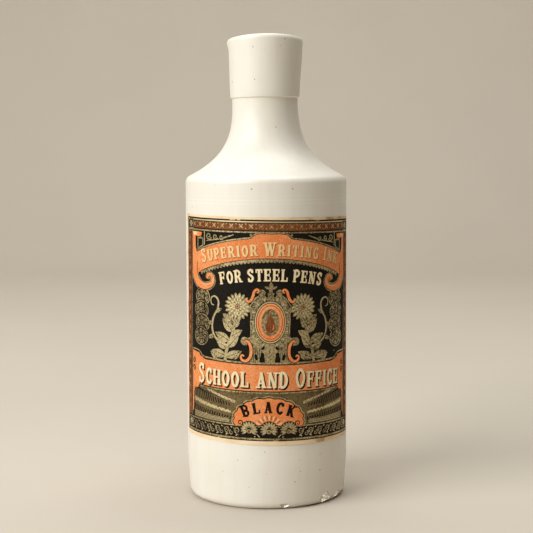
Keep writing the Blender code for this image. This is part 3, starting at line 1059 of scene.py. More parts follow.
def print_upper_banner(ink):
    """The arched banner, its curled ends and the scrollwork over its shoulders."""
    half = cornered((0.0, 123.75), (5.3, 123.75)) + [(7.3, 123.0), (9.0, UPPER_EDGE(9.0), "corner")]
    half += along(UPPER_EDGE, 14.0, 34.0, 4) + [(39.4, 114.3, "corner"), (40.4, 116.6)]
    half += cornered((40.6, 121.4), (43.5, 123.6), (43.6, 112.0), (43.6, 104.4), (38.4, 104.8))
    half += along(LOWER_EDGE, 35.5, 5.0, 6)
    fill(ink["orange"], 3, mirrored(half, [(0.0, LOWER_EDGE(0.0))]))
    # Gold piping over and under it, with a sawn lower edge.
    crown = [(0.0, 124.0, 0.9), (5.6, 124.0, 0.9), (7.9, 123.1, 0.9), (9.3, 122.0, 0.9)]
    crown += [(x, y + 0.35, 1.0) for x, y in along(UPPER_EDGE, 12.0, 39.0, 6)]
    stroke(ink["gold"], 4, crown, 0.85, BOTH)
    stroke(ink["black"], 5, [(x, y - 0.25, share) for x, y, share in crown], 0.22, BOTH)
    stroke(ink["gold"], 4, [(x, y - 0.45) for x, y in along(LOWER_EDGE, -36.0, 36.0, 14)], 1.25)
    stroke(ink["black"], 5, [(x, y + 0.12) for x, y in along(LOWER_EDGE, -36.0, 36.0, 14)], 0.28)
    for tooth in range(-21, 22):
        x = tooth * 1.68
        disc(ink["gold"], 4, (x, LOWER_EDGE(x) - 1.25), (0.62, 0.42), 10)
    # The ends narrow and curl in under the banner.
    curl = [
        (41.3, 110.0, 1.0), (41.2, 105.4, 0.98), (39.2, 101.6, 0.86), (35.4, 99.5, 0.72), (31.0, 99.5, 0.58),
        (28.2, 101.6, 0.48), (28.6, 104.0, 0.4), (30.9, 104.4, 0.34), (31.6, 102.7, 0.28),
    ]
    stroke(ink["gold"], 2, [(x, y - 0.15, share + 0.2) for x, y, share in curl], 5.2, BOTH, steps=8)
    stroke(ink["black"], 3, [(x, y - 0.05, share + 0.07) for x, y, share in curl], 4.9, BOTH, steps=8)
    stroke(ink["orange"], 4, curl, 4.6, BOTH, steps=8)
    stroke(ink["bright"], 5, [(x - 0.5, y + 0.6, share) for x, y, share in curl[3:8]], 0.5, BOTH)
    # Folded corners at the top of each limb.
    fill(ink["straw"], 4, cornered((41.8, 121.6), (43.3, 123.4), (39.2, 123.6), (38.6, 122.0)), BOTH)
    fill(ink["orange"], 4, cornered((38.9, 123.6), (35.4, 123.4), (36.0, 121.0), (40.0, 121.3)), BOTH)
    stroke(ink["black"], 5, [(40.4, 121.4), (38.2, 121.2), (35.6, 121.8)], 0.3, BOTH)
    # The shoulders: a gold post, three shrinking curls and a blade.
    stroke(ink["gold"], 3, [(33.6, 117.9), (33.6, 123.9)], 0.7, BOTH)
    for middle, radius in ((30.7, 1.75), (26.8, 1.35), (23.5, 1.05)):
        curl = spiral((middle, 122.0 - 0.04 * (31.0 - middle)), radius, 1.35, 200.0)
        stroke(ink["gold"], 3, curl, 0.62, BOTH)
    stroke(ink["gold"], 3, [(22.6, 121.4, 1.0), (20.4, 122.1, 0.8), (17.2, 123.1, 0.3)], 0.8, BOTH)
    stroke(ink["gold"], 3, [(32.6, 119.7, 0.5), (28.0, 120.4, 1.0), (22.0, 121.3, 0.6)], 0.5, BOTH)
    stroke(ink["gold"], 3, [(9.6, 123.4, 1.0), (8.2, 122.7, 0.9)], 0.9, BOTH)
    fill(ink["gold"], 2, cornered((34.4, 117.3), (38.9, 115.4), (38.9, 121.0), (34.4, 121.0)), BOTH)
    fill(ink["black"], 3, cornered((35.0, 117.8), (38.2, 116.4), (38.2, 120.4), (35.0, 120.4)), BOTH)
    # Rules down the outer sides of the limbs.
    stroke(ink["black"], 4, [(43.5, 123.4), (43.5, 105.0)], 0.3, BOTH)


def print_words(ink):
    """Plain trade words in the places where such a label has its wording."""
    top = lettered("Superior Writing Ink", (0.4, 114.1), 4.5, 71.0, 6.0, 1.05, small=0.84, gap=0.16)
    press(ink["brown"], shifted(top, 0.22, -0.22), 5)
    press(ink["straw"], top, 6)
    press(ink["cream"], lettered("FOR STEEL PENS", (0.2, 102.8), 2.3, 48.5, 5.5, 1.15), 5)
    low = lettered("School and Office", (0.0, 55.0), 0.25, 74.5, 8.9, 1.45, small=0.80, gap=0.10)
    for step in range(1, 4):
        press(ink["black"], shifted(low, 0.22 * step, -0.22 * step), 4 + 0.1 * step)
    press(ink["cream"], low, 6)
    press(ink["black"], lettered("BLACK", (-0.4, 43.7), 2.5, 23.4, 5.1, 1.2, gap=0.32), 6)


def print_cartouche(ink):
    """The oval shield in the middle: gold strapwork, orange scrolls and a drop of ink."""
    half = [
        (0.0, 98.6, "corner"), (1.6, 97.4), (3.2, 98.9), (5.0, 98.9), (5.4, 96.6), (7.6, 94.9), (8.6, 92.8),
        (10.2, 91.0), (9.0, 88.5), (9.1, 84.5), (8.9, 80.5), (9.4, 77.8), (12.6, 77.4), (13.0, 74.8),
        (10.6, 74.0), (9.0, 75.2), (8.3, 72.0), (8.9, 68.0), (9.6, 65.9, "corner"), (4.6, 65.9, "corner"),
        (4.4, 69.0), (3.4, 71.0), (2.4, 68.6), (2.2, 66.0, "corner"),
    ]
    fill(ink["gold"], 2, mirrored(half))
    # The finial, a bud with two leaves.
    bud = [(0.0, 102.6, "corner"), (1.0, 100.9), (0.7, 99.4), (0.9, 97.6, "corner")]
    fill(ink["gold"], 3, mirrored(bud))
    twin_discs(ink["gold"], 3, (1.7, 99.9), (1.15, 0.5), 12, 28.0)
    # Openings in the strapwork, and light beads over the oval.
    twin_discs(ink["black"], 3, (1.9, 96.6), (0.62, 1.15), 12, -20.0)
    twin_discs(ink["black"], 3, (6.2, 68.8), (0.75, 1.5), 12, -12.0)
    twin_discs(ink["black"], 3, (10.9, 75.8), (0.8, 0.6), 12)
    twin_discs(ink["black"], 3, (3.1, 72.9), (0.6, 0.95), 12, 40.0)
    for turn, bead in around((0.0, 84.5), (8.1, 10.7), 7, 70.0, -23.0):
        twin_discs(ink["bright"], 3, bead, (0.28, 0.62), 8, 0.9 * (turn - 90.0))
    # Engraved lines: a rim inside the outline, rays round the oval and shading on the legs.
    rim = [
        (1.6, 96.6, 0.6), (3.3, 98.0), (4.7, 97.9), (5.2, 95.6), (7.1, 94.0), (8.2, 91.6), (9.3, 90.6),
        (8.3, 88.0), (8.4, 84.5), (8.2, 80.6), (8.7, 78.4), (11.8, 76.6, 0.6),
    ]
    stroke(ink["black"], 2.6, rim, 0.26, BOTH)
    for ray in range(15):
        angle = math.radians(14.0 + 10.8 * ray)
        points = [(reach * math.sin(angle), 84.5 + (reach + 2.3) * math.cos(angle)) for reach in (7.35, 7.95)]
        stroke(ink["black"], 2.7, points, 0.26, BOTH, steps=1)
    for line in range(6):
        x = 3.6 + 0.9 * line
        points = [(x + 0.4, 73.6 - 0.3 * line), (x + 0.2, 69.2), (x, 66.4)]
        stroke(ink["black"], 2.7, points, 0.2, BOTH, steps=2)
    stroke(ink["black"], 2.7, spiral((9.9, 79.0), 1.5, 1.3, 300.0, 1), 0.4, BOTH)
    stroke(ink["black"], 2.7, spiral((7.6, 91.6), 1.2, 1.2, 120.0, -1), 0.36, BOTH)
    for level, colour, across, up in (
        (3, "black", 7.25, 9.65), (4, "bright", 6.95, 9.35), (5, "black", 6.5, 8.85), (6, "orange", 6.2, 8.5),
    ):
        disc(ink[colour], level, (0.0, 84.5), (across, up), 40)
    stroke(ink["brown"], 7, ring((0.0, 84.5), (5.3, 7.5)), 0.22, closed=True)
    # A drop of ink in a wreath of beads.
    disc(ink["gold"], 6.5, (0.0, 84.4), (4.1, 6.1), 28)
    drop = [(0.0, 89.0, "corner"), (1.7, 84.6), (2.3, 82.6), (1.6, 80.5)]
    fill(ink["brown"], 7, mirrored(drop, [(0.0, 79.7)]))
    stroke(ink["orange"], 7.5, [(1.2, 83.6, 0.4), (1.45, 82.3, 1.0), (0.9, 81.1, 0.4)], 0.5)
    for _turn, bead in around((0.0, 84.4), (3.35, 5.2), 18):
        disc(ink["brown"], 7, bead, (0.26, 0.26), 8)
    # Orange scrolls with dark edges.
    for points, width in (
        ([(10.9, 94.6, 0.7), (10.2, 93.6, 0.9), (8.8, 94.3, 1.0), (7.9, 96.2, 1.0), (7.1, 98.5, 0.9),
          (5.9, 99.1, 0.75), (5.4, 98.1, 0.6), (6.3, 97.6, 0.5)], 1.25),
        ([(11.5, 75.4, 0.6), (10.6, 76.0, 0.8), (9.2, 74.6, 1.0), (8.5, 71.4, 1.0), (9.3, 68.2, 1.0),
          (11.3, 66.9, 0.9), (13.0, 67.9, 0.75), (12.7, 69.5, 0.6), (11.6, 69.0, 0.5)], 1.35),
    ):
        stroke(ink["black"], 4, points, width + 0.75, BOTH, steps=7)
        stroke(ink["orange"], 5, points, width, BOTH, steps=7)


def leaf(ink, root, length, width, turn_degrees, side):
    """A pointed leaf with a dark midrib and pale veins."""
    turn = math.radians(turn_degrees)

    def place(forward, across):
        return (
            root[0] + forward * length * math.cos(turn) - across * width * math.sin(turn),
            root[1] + forward * length * math.sin(turn) + across * width * math.cos(turn),
        )

    outline = [
        (*place(0.0, 0.0), "corner"), place(0.32, 0.5), place(0.7, 0.38),
        (*place(1.0, 0.0), "corner"), place(0.7, -0.38), place(0.32, -0.5),
    ]
    press(ink["gold"], drawn(outline, closed=True, steps=3), 3, side)
    rib = [(*place(0.05, 0.0), 1.0), (*place(0.5, 0.05), 0.8), (*place(0.88, 0.0), 0.4)]
    press(ink["black"], drawn(rib, False, 0.28, 2), 4, side)
    for share in (0.3, 0.55):
        for across in (-0.3, 0.3):
            vein = [(*place(share, across * 0.2), 1.0), (*place(share + 0.16, across), 0.5)]
            press(ink["bright"], drawn(vein, False, 0.24, 2), 4.3, side)


def print_flower_sprays(ink):
    """A chrysanthemum on a leafy stem to either side of the shield, with a tendril on its outer side."""
    bloom = (15.0, 91.2)
    stem = [(21.0, 66.4, 1.0), (20.0, 72.0, 1.0), (17.2, 79.0, 0.9), (16.2, 85.0, 0.8), (15.2, 89.0, 0.7)]
    tendril = [(19.6, 73.4, 0.8), (24.6, 75.0, 0.9), (28.0, 79.4, 1.0), (27.6, 85.4, 0.9), (25.0, 90.0, 0.9),
               (25.6, 94.4, 0.8), (28.6, 94.6, 0.7), (28.8, 91.6, 0.6), (27.4, 91.0, 0.5)]
    leaves = [
        (20.6, 68.6, 8.2, 3.6, 14.0), (20.6, 68.0, 8.6, 3.4, 158.0), (20.2, 71.6, 7.6, 3.6, 40.0),
        (19.8, 72.4, 8.4, 3.8, 132.0), (18.6, 75.4, 8.6, 3.9, 24.0), (18.0, 77.6, 6.2, 3.2, 150.0),
        (17.2, 79.4, 8.2, 3.8, 50.0), (16.8, 81.6, 5.4, 2.8, 122.0), (16.4, 83.6, 7.2, 3.4, 34.0),
        (16.0, 85.4, 4.6, 2.4, 140.0), (26.9, 77.4, 4.2, 2.0, -20.0), (27.9, 82.6, 4.0, 1.9, 10.0),
        (26.2, 88.0, 3.8, 1.8, 150.0), (25.0, 67.0, 5.2, 2.6, 36.0), (16.4, 67.2, 5.0, 2.4, 118.0),
    ]
    stroke(ink["gold"], 3, stem, 1.5, BOTH)
    stroke(ink["gold"], 3, tendril, 1.15, BOTH)
    stroke(ink["bright"], 4, [(x - 0.2, y, share) for x, y, share in tendril], 0.35, BOTH)
    for x, y, length, width, turn in leaves:
        for side in BOTH:
            leaf(ink, (x, y), length, width, turn, side)
    # Three rings of petals, each over the last, and a seeded middle.
    rings = ((18, 4.5, 1.75, 0.78), (14, 3.1, 1.5, 0.72), (10, 1.8, 1.2, 0.6))
    for order, (count, reach, long, wide) in enumerate(rings):
        twin_discs(ink["black"], 3.3 + order, bloom, (reach + 0.4, reach + 0.4), 24)
        for turn, centre in around(bloom, (reach, reach), count, 180.0 * order / count):
            twin_discs(ink["gold"], 3.6 + order, centre, (long, wide), 12, turn)
            twin_discs(ink["bright"], 3.8 + order, centre, (long * 0.6, wide * 0.35), 8, turn)
    twin_discs(ink["brown"], 6.3, bloom, (1.2, 1.2), 16)
    for side in BOTH:
        for _turn, seed in around((side * bloom[0], bloom[1]), (0.7, 0.7), 7):
            disc(ink["bright"], 6.6, seed, (0.2, 0.2), 6)


def print_rosettes(ink):
    """Four scrolled rosettes, one over the next, near each side of the label."""
    for order, height in enumerate((94.2, 88.2, 82.2, 76.2)):
        for side in BOTH:
            level = 2.0 + 0.9 * order
            centre = (side * (35.8 if order % 2 else 35.0), height)
            disc(ink["black"], level, centre, (5.6, 4.7), 32)
            disc(ink["gold"], level + 0.2, centre, (5.2, 4.3), 32)
            for share, width in ((0.84, 0.42), (0.34, 0.36)):
                points = ring(centre, (5.2 * share, 4.3 * share))
                stroke(ink["black"], level + 0.4, points, width, closed=True, steps=3)
            for turn, middle in around(centre, (3.15, 2.6), 6):
                curl = spiral(middle, 1.15, 1.3, turn + 180.0, side, 0.2, 9)
                stroke(ink["black"], level + 0.4, curl, 0.5, steps=2)
            for turn, middle in around(centre, (0.95, 0.9), 8):
                disc(ink["black"], level + 0.5, middle, (0.5, 0.2), 8, turn)


BANNER_TOP = arch(65.2, -0.9, 36.0)
BANNER_BOTTOM = arch(53.5, -0.35, 36.0)


def print_lower_banner(ink):
    """The broad banner with its turned-up corners and the strips that run down from it."""
    half = [(0.0, BANNER_TOP(0.0))] + along(BANNER_TOP, 12.0, 33.6, 3)
    half += [(34.6, 66.6, "corner"), (36.6, 67.2)]
    half += cornered((37.2, 68.2), (43.6, 68.9), (43.6, 40.4), (42.6, 41.0), (42.0, 49.6)) + [(40.4, 51.4)]
    half += cornered((38.4, 51.8), (37.2, BANNER_BOTTOM(37.0))) + along(BANNER_BOTTOM, 30.0, 12.0, 2)
    fill(ink["orange"], 3, mirrored(half, [(0.0, BANNER_BOTTOM(0.0))]))
    edge = [(x, y + 0.85, 1.0) for x, y in along(BANNER_TOP, -33.2, 33.2, 8)]
    stroke(ink["gold"], 3, edge, 0.75)
    stroke(ink["black"], 4, [(x, y - 0.62, 1.0) for x, y, _share in edge], 0.3)
    stroke(ink["gold"], 3, [(x, y - 0.75) for x, y in along(BANNER_BOTTOM, -37.0, 37.0, 8)], 0.6)
    stroke(ink["black"], 4, [(x, y - 0.2) for x, y in along(BANNER_BOTTOM, -37.0, 37.0, 8)], 0.4)
    corner = [(33.6, 67.0), (35.2, 67.6), (36.6, 68.9), (43.4, 69.7)]
    stroke(ink["gold"], 4, corner, 0.6, BOTH)
    stroke(ink["black"], 5, [(x + 0.1, y - 0.5) for x, y in corner], 0.3, BOTH)
    stroke(ink["black"], 4, [(43.5, 68.8), (43.5, 41.0)], 0.3, BOTH)
    stroke(ink["black"], 4, [(42.0, 49.4), (40.6, 51.3), (38.4, 51.9), (37.0, 53.4)], 0.4, BOTH)
    for height, direction in ((64.2, 1), (61.0, -1)):
        curl = spiral((41.9, height), 1.35, 1.2, 90.0 * direction, direction)
        stroke(ink["black"], 5, curl, 0.62, BOTH)


def print_ray_panel(ink):
    """Engraved rays that fan out from the shell under the lower banner."""
    box(ink["olive"], 2, -41.6, 38.2, 41.6, 52.6)
    rays = [
        ("black", [(41.4, 47.9), (41.4, 51.8), (38.0, 52.2), (18.4, 47.4), (18.4, 46.4)]),
        ("gold", [(33.0, 52.4), (28.5, 52.4), (15.5, 48.6), (15.8, 47.4)]),
        ("gold", [(41.4, 45.6), (41.4, 47.8), (17.6, 44.0), (17.6, 42.8)]),
        ("black", [(41.4, 41.6), (41.4, 44.2), (17.8, 41.4), (17.8, 40.0)]),
    ]
    for colour, corners in rays:
        fill(ink[colour], 2.6, cornered(*corners), BOTH)
    # Hatching across the dark rays, a zigzag along the bright ones and fine rules between.
    for step in range(17):
        x = 17.6 + 1.42 * step
        share = (x - 16.8) / 24.6
        low, high = 46.1 + 1.7 * share, 47.8 + 4.4 * share
        stroke(ink["olive"], 3.4, [(x, low - 0.1), (x + 0.9, high + 0.1)], 0.7, BOTH, steps=1)
        low, high = 39.8 + 1.8 * share, 41.6 + 3.1 * share
        stroke(ink["olive"], 3.4, [(x, low - 0.1), (x - 0.7, high + 0.1)], 0.72, BOTH, steps=1)
    zigzag = []
    for step in range(22):
        x = 18.4 + 1.05 * step
        zigzag.append((x, 43.5 + 3.2 * (x - 17.6) / 23.8 + (0.42 if step % 2 else -0.42), "corner"))
    stroke(ink["bright"], 3.4, zigzag, 0.62, BOTH, steps=1)
    for step in range(7):
        x = 17.4 + 2.0 * step
        rise = 0.24 * (x - 16.0)
        stroke(ink["bright"], 3.4, [(x, 48.3 + rise), (x + 1.4, 49.2 + rise)], 0.42, BOTH, steps=1)
    for rule in range(5):
        line = [(17.4, 39.0 + 2.34 * rule), (41.4, 39.6 + 3.3 * rule)]
        stroke(ink["black"], 2.3, line, 0.26, BOTH, steps=1)
    for rule in range(4):
        stroke(ink["bright"], 3.0, [(18.6, 38.8 + 0.5 * rule), (41.0, 38.9 + 0.7 * rule)], 0.2, BOTH, steps=1)


def scalloped(centre, across, up, lobes, depth, grow=0.0):
    """The upper half of an ellipse whose edge swells in lobes, closed by two smaller swells below."""
    points = []
    count = lobes * 6
    for step in range(count + 1):
        share = step / count
        angle = math.radians(-14.0 + 208.0 * share)
        swell = 1.0 + depth * abs(math.sin(math.pi * lobes * share))
        points.append((
            centre[0] + (across * swell + grow) * math.cos(angle),
            centre[1] + (up * swell + grow) * math.sin(angle),
        ))
    below = [(-10.0, 1.4), (-5.2, 2.0), (0.0, 0.6), (5.2, 2.0), (10.0, 1.4)]
    return points + [(centre[0] + x, centre[1] - y - grow) for x, y in below]


def print_shell(ink):
    """The shell-shaped plate at the foot of the label, on three palmettes."""
    centre = (-0.2, 40.0)
    for level, colour, grow in ((3.6, "gold", 0.95), (4.2, "black", 0.45), (4.8, "orange", 0.0)):
        fill(ink[colour], level, scalloped(centre, 15.6, 10.0, 11, 0.045, grow))
    for ray in range(13):
        angle = math.radians(30.0 + 10.0 * ray)
        points = [(reach * math.cos(angle), 36.0 + reach * math.sin(angle)) for reach in (4.6, 6.6)]
        stroke(ink["brown" if ray % 2 else "cream"], 5.4, points, 0.34, steps=1)
    stroke(ink["black"], 5.2, spiral((13.2, 38.9), 1.3, 1.1, 200.0, -1), 0.5, BOTH)
    for middle in (-9.0, 0.0, 9.0):
        disc(ink["black"], 5.2, (middle, 36.1), (4.1, 3.9), 24)
        for turn, tip in around((middle, 36.0), (2.5, 2.3), 13, -36.0, 21.0):
            disc(ink["gold"], 5.5, tip, (1.5, 0.52), 12, turn)
            disc(ink["bright"], 5.8, tip, (0.8, 0.14), 8, turn)
        disc(ink["gold"], 6.0, (middle, 35.2), (1.2, 1.0), 16)
        disc(ink["brown"], 6.3, (middle, 35.2), (0.55, 0.5), 12)


def print_foot_frieze(ink):
    """Scrollwork along the bottom, between two gold rules."""
    box(ink["gold"], 2, -48.3, 31.4, 48.3, 32.2)
    box(ink["gold"], 3, -42.4, 37.35, 42.4, 37.9)
    box(ink["black"], 2.6, -42.4, 32.4, 42.4, 37.4)
    for place in range(6):
        x = 14.9 + 5.0 * place
        stroke(ink["gold"], 3.3, spiral((x, 35.5), 1.25, 1.15, 250.0, -1), 0.48, BOTH)
        stroke(ink["gold"], 3.3, spiral((x + 2.5, 34.1), 1.15, 1.1, 70.0, -1), 0.44, BOTH)
        stem = [(x - 1.0, 33.1, 0.5), (x + 0.6, 34.4, 1.0), (x + 1.4, 36.6, 0.4)]
        stroke(ink["gold"], 3.3, stem, 0.6, BOTH)
        twin_discs(ink["bright"], 3.6, (x + 2.5, 36.6), (0.5, 0.24), 8, 35.0)
        twin_discs(ink["bright"], 3.6, (x, 33.1), (0.5, 0.24), 8, -30.0)
    for step in range(4):
        line = [(4.2 + 2.0 * step, 32.7, 1.0), (5.6 + 1.8 * step, 34.2, 0.4)]
        stroke(ink["bright"], 4.2, line, 0.4, BOTH)


def scuffs(ink):
    """Small bare spots where the print has rubbed off, along its edges and scattered in it."""
    marks = [
        (-17.6, 129.9, 1.5, 0.22), (-14.9, 129.8, 0.8, 0.2), (22.0, 129.95, 1.2, 0.16),
        (-27.0, 94.9, 0.3, 0.14), (34.0, 70.2, 0.2, 0.32), (-31.6, 41.2, 0.4, 0.18),
        (44.2, 90.0, 0.12, 0.9), (-47.6, 74.0, 0.2, 1.4), (-48.5, 52.0, 0.22, 1.0),
        (48.4, 110.0, 0.22, 1.1), (3.0, 31.1, 1.2, 0.16), (-24.0, 31.1, 0.8, 0.16),
    ]
    for order, (x, y, across, up) in enumerate(marks):
        points = []
        for step in range(7):
            angle = math.tau * step / 7.0
            ragged = 0.75 + 0.4 * abs(math.sin(order * 2.3 + step * 1.9))
            points.append((x + across * ragged * math.cos(angle), y + up * ragged * math.sin(angle)))
        fill(ink["paper"], 6.8, points)


def face_reader(plate):
    """Turns each face of a flat print up, towards its reader."""
    for face in plate.faces:
        face.normal_update()
        if face.normal.z < 0.0:
            face.normal_flip()


def bend_round_barrel(plate, base_radius):
    """Leans the flat print, cuts it into narrow strips and bends it round the barrel."""
    middle = (LABEL_LOW.z + LABEL_HIGH.z) / 2.0
    bmesh.ops.translate(plate, vec=(0.0, -LABEL_MIDDLE_MM, 0.0), verts=plate.verts)
    bmesh.ops.rotate(
        plate, cent=(0.0, 0.0, 0.0), matrix=Matrix.Rotation(-LABEL_LEAN, 3, "Z"), verts=plate.verts
    )
    reach = math.ceil(LABEL_WIDTH_MM / 2.0 / STRIP_MM) + 1
    for strip in range(-reach, reach + 1):
        bmesh.ops.bisect_plane(
            plate, geom=plate.verts[:] + plate.edges[:] + plate.faces[:], dist=0.0001,
            plane_co=(strip * STRIP_MM, 0.0, 0.0), plane_no=(1.0, 0.0, 0.0),
        )
    outer = BARREL_RADIUS + PAPER_GAP + PAPER_THICKNESS
    for corner in plate.verts:
        angle = -math.pi / 2.0 + LABEL_TURN + corner.co.x * MM / outer
        radius = base_radius + corner.co.z * MM
        corner.co = (radius * math.cos(angle), radius * math.sin(angle), middle + corner.co.y * MM)


class INKBOTTLE_OT_label(bpy.types.Operator):
    """Build the paper label and print it, one mesh for each colour."""

    bl_idname = "inkbottle.label"
    bl_label = "Printed label"

    def execute(self, context):
        settings = context.scene.ink_label
        outer = BARREL_RADIUS + PAPER_GAP + PAPER_THICKNESS
        # The sheet: a fine grid with slightly uneven edges, given its thickness before it is bent.
        sheet = bmesh.new()
        half_width = LABEL_WIDTH_MM / 2.0
        half_height = (LABEL_TOP_MM - LABEL_BOTTOM_MM) / 2.0
        place = Matrix.LocRotScale(
            Vector((0.0, LABEL_MIDDLE_MM, 0.0)), None, Vector((half_width, half_height, 1.0))
        )
        bmesh.ops.create_grid(sheet, x_segments=100, y_segments=50, size=1.0, matrix=place)
        for corner in sheet.verts:
            if corner.is_boundary:
                ragged = noise.noise(Vector((corner.co.x * 0.35, corner.co.y * 0.35, 4.0)))
                corner.co.x -= WORN_EDGE_MM * abs(ragged) * corner.co.x / half_width
                corner.co.y -= WORN_EDGE_MM * abs(ragged) * (corner.co.y - LABEL_MIDDLE_MM) / half_height
        bmesh.ops.solidify(sheet, geom=sheet.faces[:], thickness=PAPER_THICKNESS / MM)
        bmesh.ops.recalc_face_normals(sheet, faces=sheet.faces)
        top = max(corner.co.z for corner in sheet.verts)
        bmesh.ops.translate(sheet, vec=(0.0, 0.0, -top), verts=sheet.verts)
        bend_round_barrel(sheet, outer)
        paper = finish_piece("label_paper", sheet, [label_paper(settings)])
        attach(paper, "bottle")
        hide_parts("paper_label")

        colours = ("black", "brown", "orange", "olive", "gold", "bright", "straw", "cream", "paper")
        ink = {colour: bmesh.new() for colour in colours}
        for draw in (
            print_border, print_upper_banner, print_cartouche, print_flower_sprays, print_rosettes,
            print_lower_banner, print_ray_panel, print_foot_frieze, print_shell, print_words, scuffs,
        ):
            draw(ink)
        inks = {
            "black": printed_ink("black_litho_ink", settings.black, linear("3A3020"), 0.22),
            "brown": printed_ink("red_brown_litho_ink", settings.brown, linear("A8693C"), 0.55),
            "orange": printed_ink("orange_litho_ink", settings.orange, linear("F4B681"), 0.6),
            "olive": printed_ink("olive_litho_ink", settings.olive, linear("43371F"), 0.8, 0.9, 0.45),
            "gold": printed_ink("old_gold_litho_ink", settings.gold, linear("56472B"), 0.9, 0.9, 0.85),
            "bright": printed_ink("light_gold_litho_ink", settings.bright, settings.gold, 0.6, 0.7, 0.8),
            "straw": printed_ink("straw_litho_ink", settings.straw, settings.orange, 0.5),
            "cream": printed_ink("cream_paper_ground", settings.cream, linear("C9A46C"), 0.5),
            "paper": printed_ink("rubbed_paper", settings.paper, linear("B98F5E"), 0.6),
        }
        for colour, plate in ink.items():
            face_reader(plate)
            bend_round_barrel(plate, outer)
            name = "label_rubbed_spots" if colour == "paper" else "label_print_" + colour
            layer = finish_piece(name, plate, [inks[colour]])
            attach(layer, "bottle")
        return {"FINISHED"}


# ---- Stage ----

CAMERA_PLACE = (0.0, -0.6104, 0.1598)
CAMERA_TILT = math.radians(4.93)            # down from level
CAMERA_ROLL = math.radians(0.26)            # clockwise
CAMERA_SHIFT = 0.0003
ROOM_COLOUR = (1.0, 0.82, 0.60)             # the dim, warm light that reaches the shadows
ROOM_STRENGTH = 0.07
FLOOR_START = -2.0
FLOOR_WIDTH = 6.0
BACKDROP_AWAY = 1.6
BACKDROP_ROUND = 0.5
BACKDROP_TALL = 2.4


def add_lamp(name, place, target, size, power, colour):
    """A soft rectangular light that looks at a point."""
    data = bpy.data.lights.new(name, "AREA")
    data.shape = "RECTANGLE"
    data.size = size[0]
    data.size_y = size[1]
    data.energy = power
    data.color = colour
    lamp = bpy.data.objects.new(name, data)
    lamp.location = place
    lamp.rotation_euler = (Vector(target) - Vector(place)).to_track_quat("-Z", "Y").to_euler()
    bpy.context.scene.collection.objects.link(lamp)


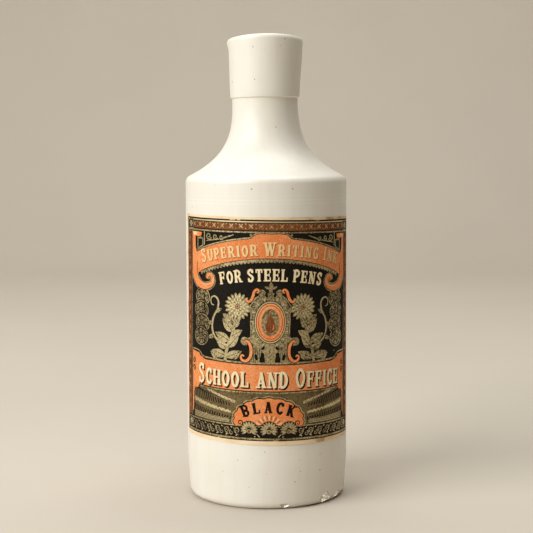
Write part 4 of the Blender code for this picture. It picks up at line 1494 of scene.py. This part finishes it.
class INKBOTTLE_OT_stage(bpy.types.Operator):
    """Build the floor, the lights and the camera."""

    bl_idname = "inkbottle.stage"
    bl_label = "Stage"

    def execute(self, context):
        settings = context.scene.ink_stage
        # A floor that curves up into a plain backdrop far behind.
        sweep_mesh = bmesh.new()
        bend = arc((BACKDROP_AWAY - BACKDROP_ROUND, BACKDROP_ROUND), BACKDROP_ROUND, -90.0, 0.0, 12)
        line = [(FLOOR_START, 0.0)] + bend + [(BACKDROP_AWAY, BACKDROP_TALL)]
        corners = [sweep_mesh.verts.new((-FLOOR_WIDTH / 2.0, y, z)) for y, z in line]
        edges = [sweep_mesh.edges.new(pair) for pair in zip(corners, corners[1:])]
        pulled = bmesh.ops.extrude_edge_only(sweep_mesh, edges=edges)["geom"]
        moved = [item for item in pulled if isinstance(item, bmesh.types.BMVert)]
        bmesh.ops.translate(sweep_mesh, vec=(FLOOR_WIDTH, 0.0, 0.0), verts=moved)
        bmesh.ops.recalc_face_normals(sweep_mesh, faces=sweep_mesh.faces)
        matte, shader, place = new_material("matte_backdrop_paint", Roughness=0.9)
        darker = [0.97 * part for part in settings.floor]
        mottled(matte, shader, place, 160.0, 2.0, [(0.3, darker), (0.7, settings.floor)])
        finish_piece("floor", sweep_mesh, [matte])

        target = (0.0, 0.0, RIM_HEIGHT * 0.5)
        add_lamp("key", (-0.95, -0.75, 0.80), target, (1.0, 1.0), settings.key_power, (0.98, 1.0, 1.0))
        add_lamp("fill", (0.45, -1.3, 0.5), target, (0.14, 0.14), settings.fill_power, (1.0, 0.88, 0.70))
        add_lamp("rim", (-0.5, 0.9, 0.9), target, (0.6, 0.6), settings.fill_power, (0.95, 0.97, 1.0))
        add_lamp("top", (0.12, 0.0, 1.35), target, (0.8, 0.8), settings.top_power, (0.98, 1.0, 0.99))
        behind = (0.0, 1.6, 0.5)
        add_lamp("backdrop", (0.0, 0.55, 1.7), behind, (2.4, 0.8), settings.backdrop_power, (1.0, 0.99, 0.97))
        world = bpy.data.worlds.new("room")
        world.use_nodes = True
        air = world.node_tree.nodes["Background"]
        air.inputs["Color"].default_value = opaque(ROOM_COLOUR)
        air.inputs["Strength"].default_value = ROOM_STRENGTH
        context.scene.world = world
        context.scene.view_settings.view_transform = "Standard"

        data = bpy.data.cameras.new("camera")
        data.lens = settings.lens
        data.sensor_width = 36.0
        data.shift_x = CAMERA_SHIFT
        camera = bpy.data.objects.new("camera", data)
        camera.location = CAMERA_PLACE
        tilt = Matrix.Rotation(math.radians(90.0) - CAMERA_TILT, 4, "X")
        roll = Matrix.Rotation(-CAMERA_ROLL, 4, "Z")
        camera.rotation_euler = (tilt @ roll).to_euler()
        context.scene.collection.objects.link(camera)
        context.scene.camera = camera
        return {"FINISHED"}


class INKBOTTLE_PT_panel(bpy.types.Panel):
    """Lists the sizes and the builders in the 3D view's sidebar."""

    bl_idname = "INKBOTTLE_PT_panel"
    bl_label = "Ink bottle"
    bl_space_type = "VIEW_3D"
    bl_region_type = "UI"
    bl_category = "Ink bottle"

    def draw(self, context):
        for name, _group, operators in PARTS:
            column = self.layout.column(align=True)
            settings = getattr(context.scene, name)
            for setting in type(settings).__annotations__:
                column.prop(settings, setting)
            for operator in operators:
                column.operator(operator.bl_idname)


# The scene's name for each group of settings, the group, and the operators that it steers.
PARTS = (
    ("ink_stage", StageSettings, (INKBOTTLE_OT_stage,)),
    ("ink_bottle", BottleSettings, (INKBOTTLE_OT_bottle, INKBOTTLE_OT_specks)),
    ("ink_cork", CorkSettings, (INKBOTTLE_OT_cork,)),
    ("ink_label", LabelSettings, (INKBOTTLE_OT_label,)),
)


def register():
    for name, group, operators in PARTS:
        bpy.utils.register_class(group)
        setattr(bpy.types.Scene, name, bpy.props.PointerProperty(type=group))
        for operator in operators:
            bpy.utils.register_class(operator)
    bpy.utils.register_class(INKBOTTLE_PT_panel)


def unregister():
    bpy.utils.unregister_class(INKBOTTLE_PT_panel)
    for name, group, operators in PARTS:
        for operator in operators:
            bpy.utils.unregister_class(operator)
        delattr(bpy.types.Scene, name)
        bpy.utils.unregister_class(group)


def main():
    register()
    bpy.ops.inkbottle.stage()
    bpy.ops.inkbottle.bottle()
    bpy.ops.inkbottle.specks()
    bpy.ops.inkbottle.cork()
    bpy.ops.inkbottle.label()


if __name__ == "__main__":
    main()
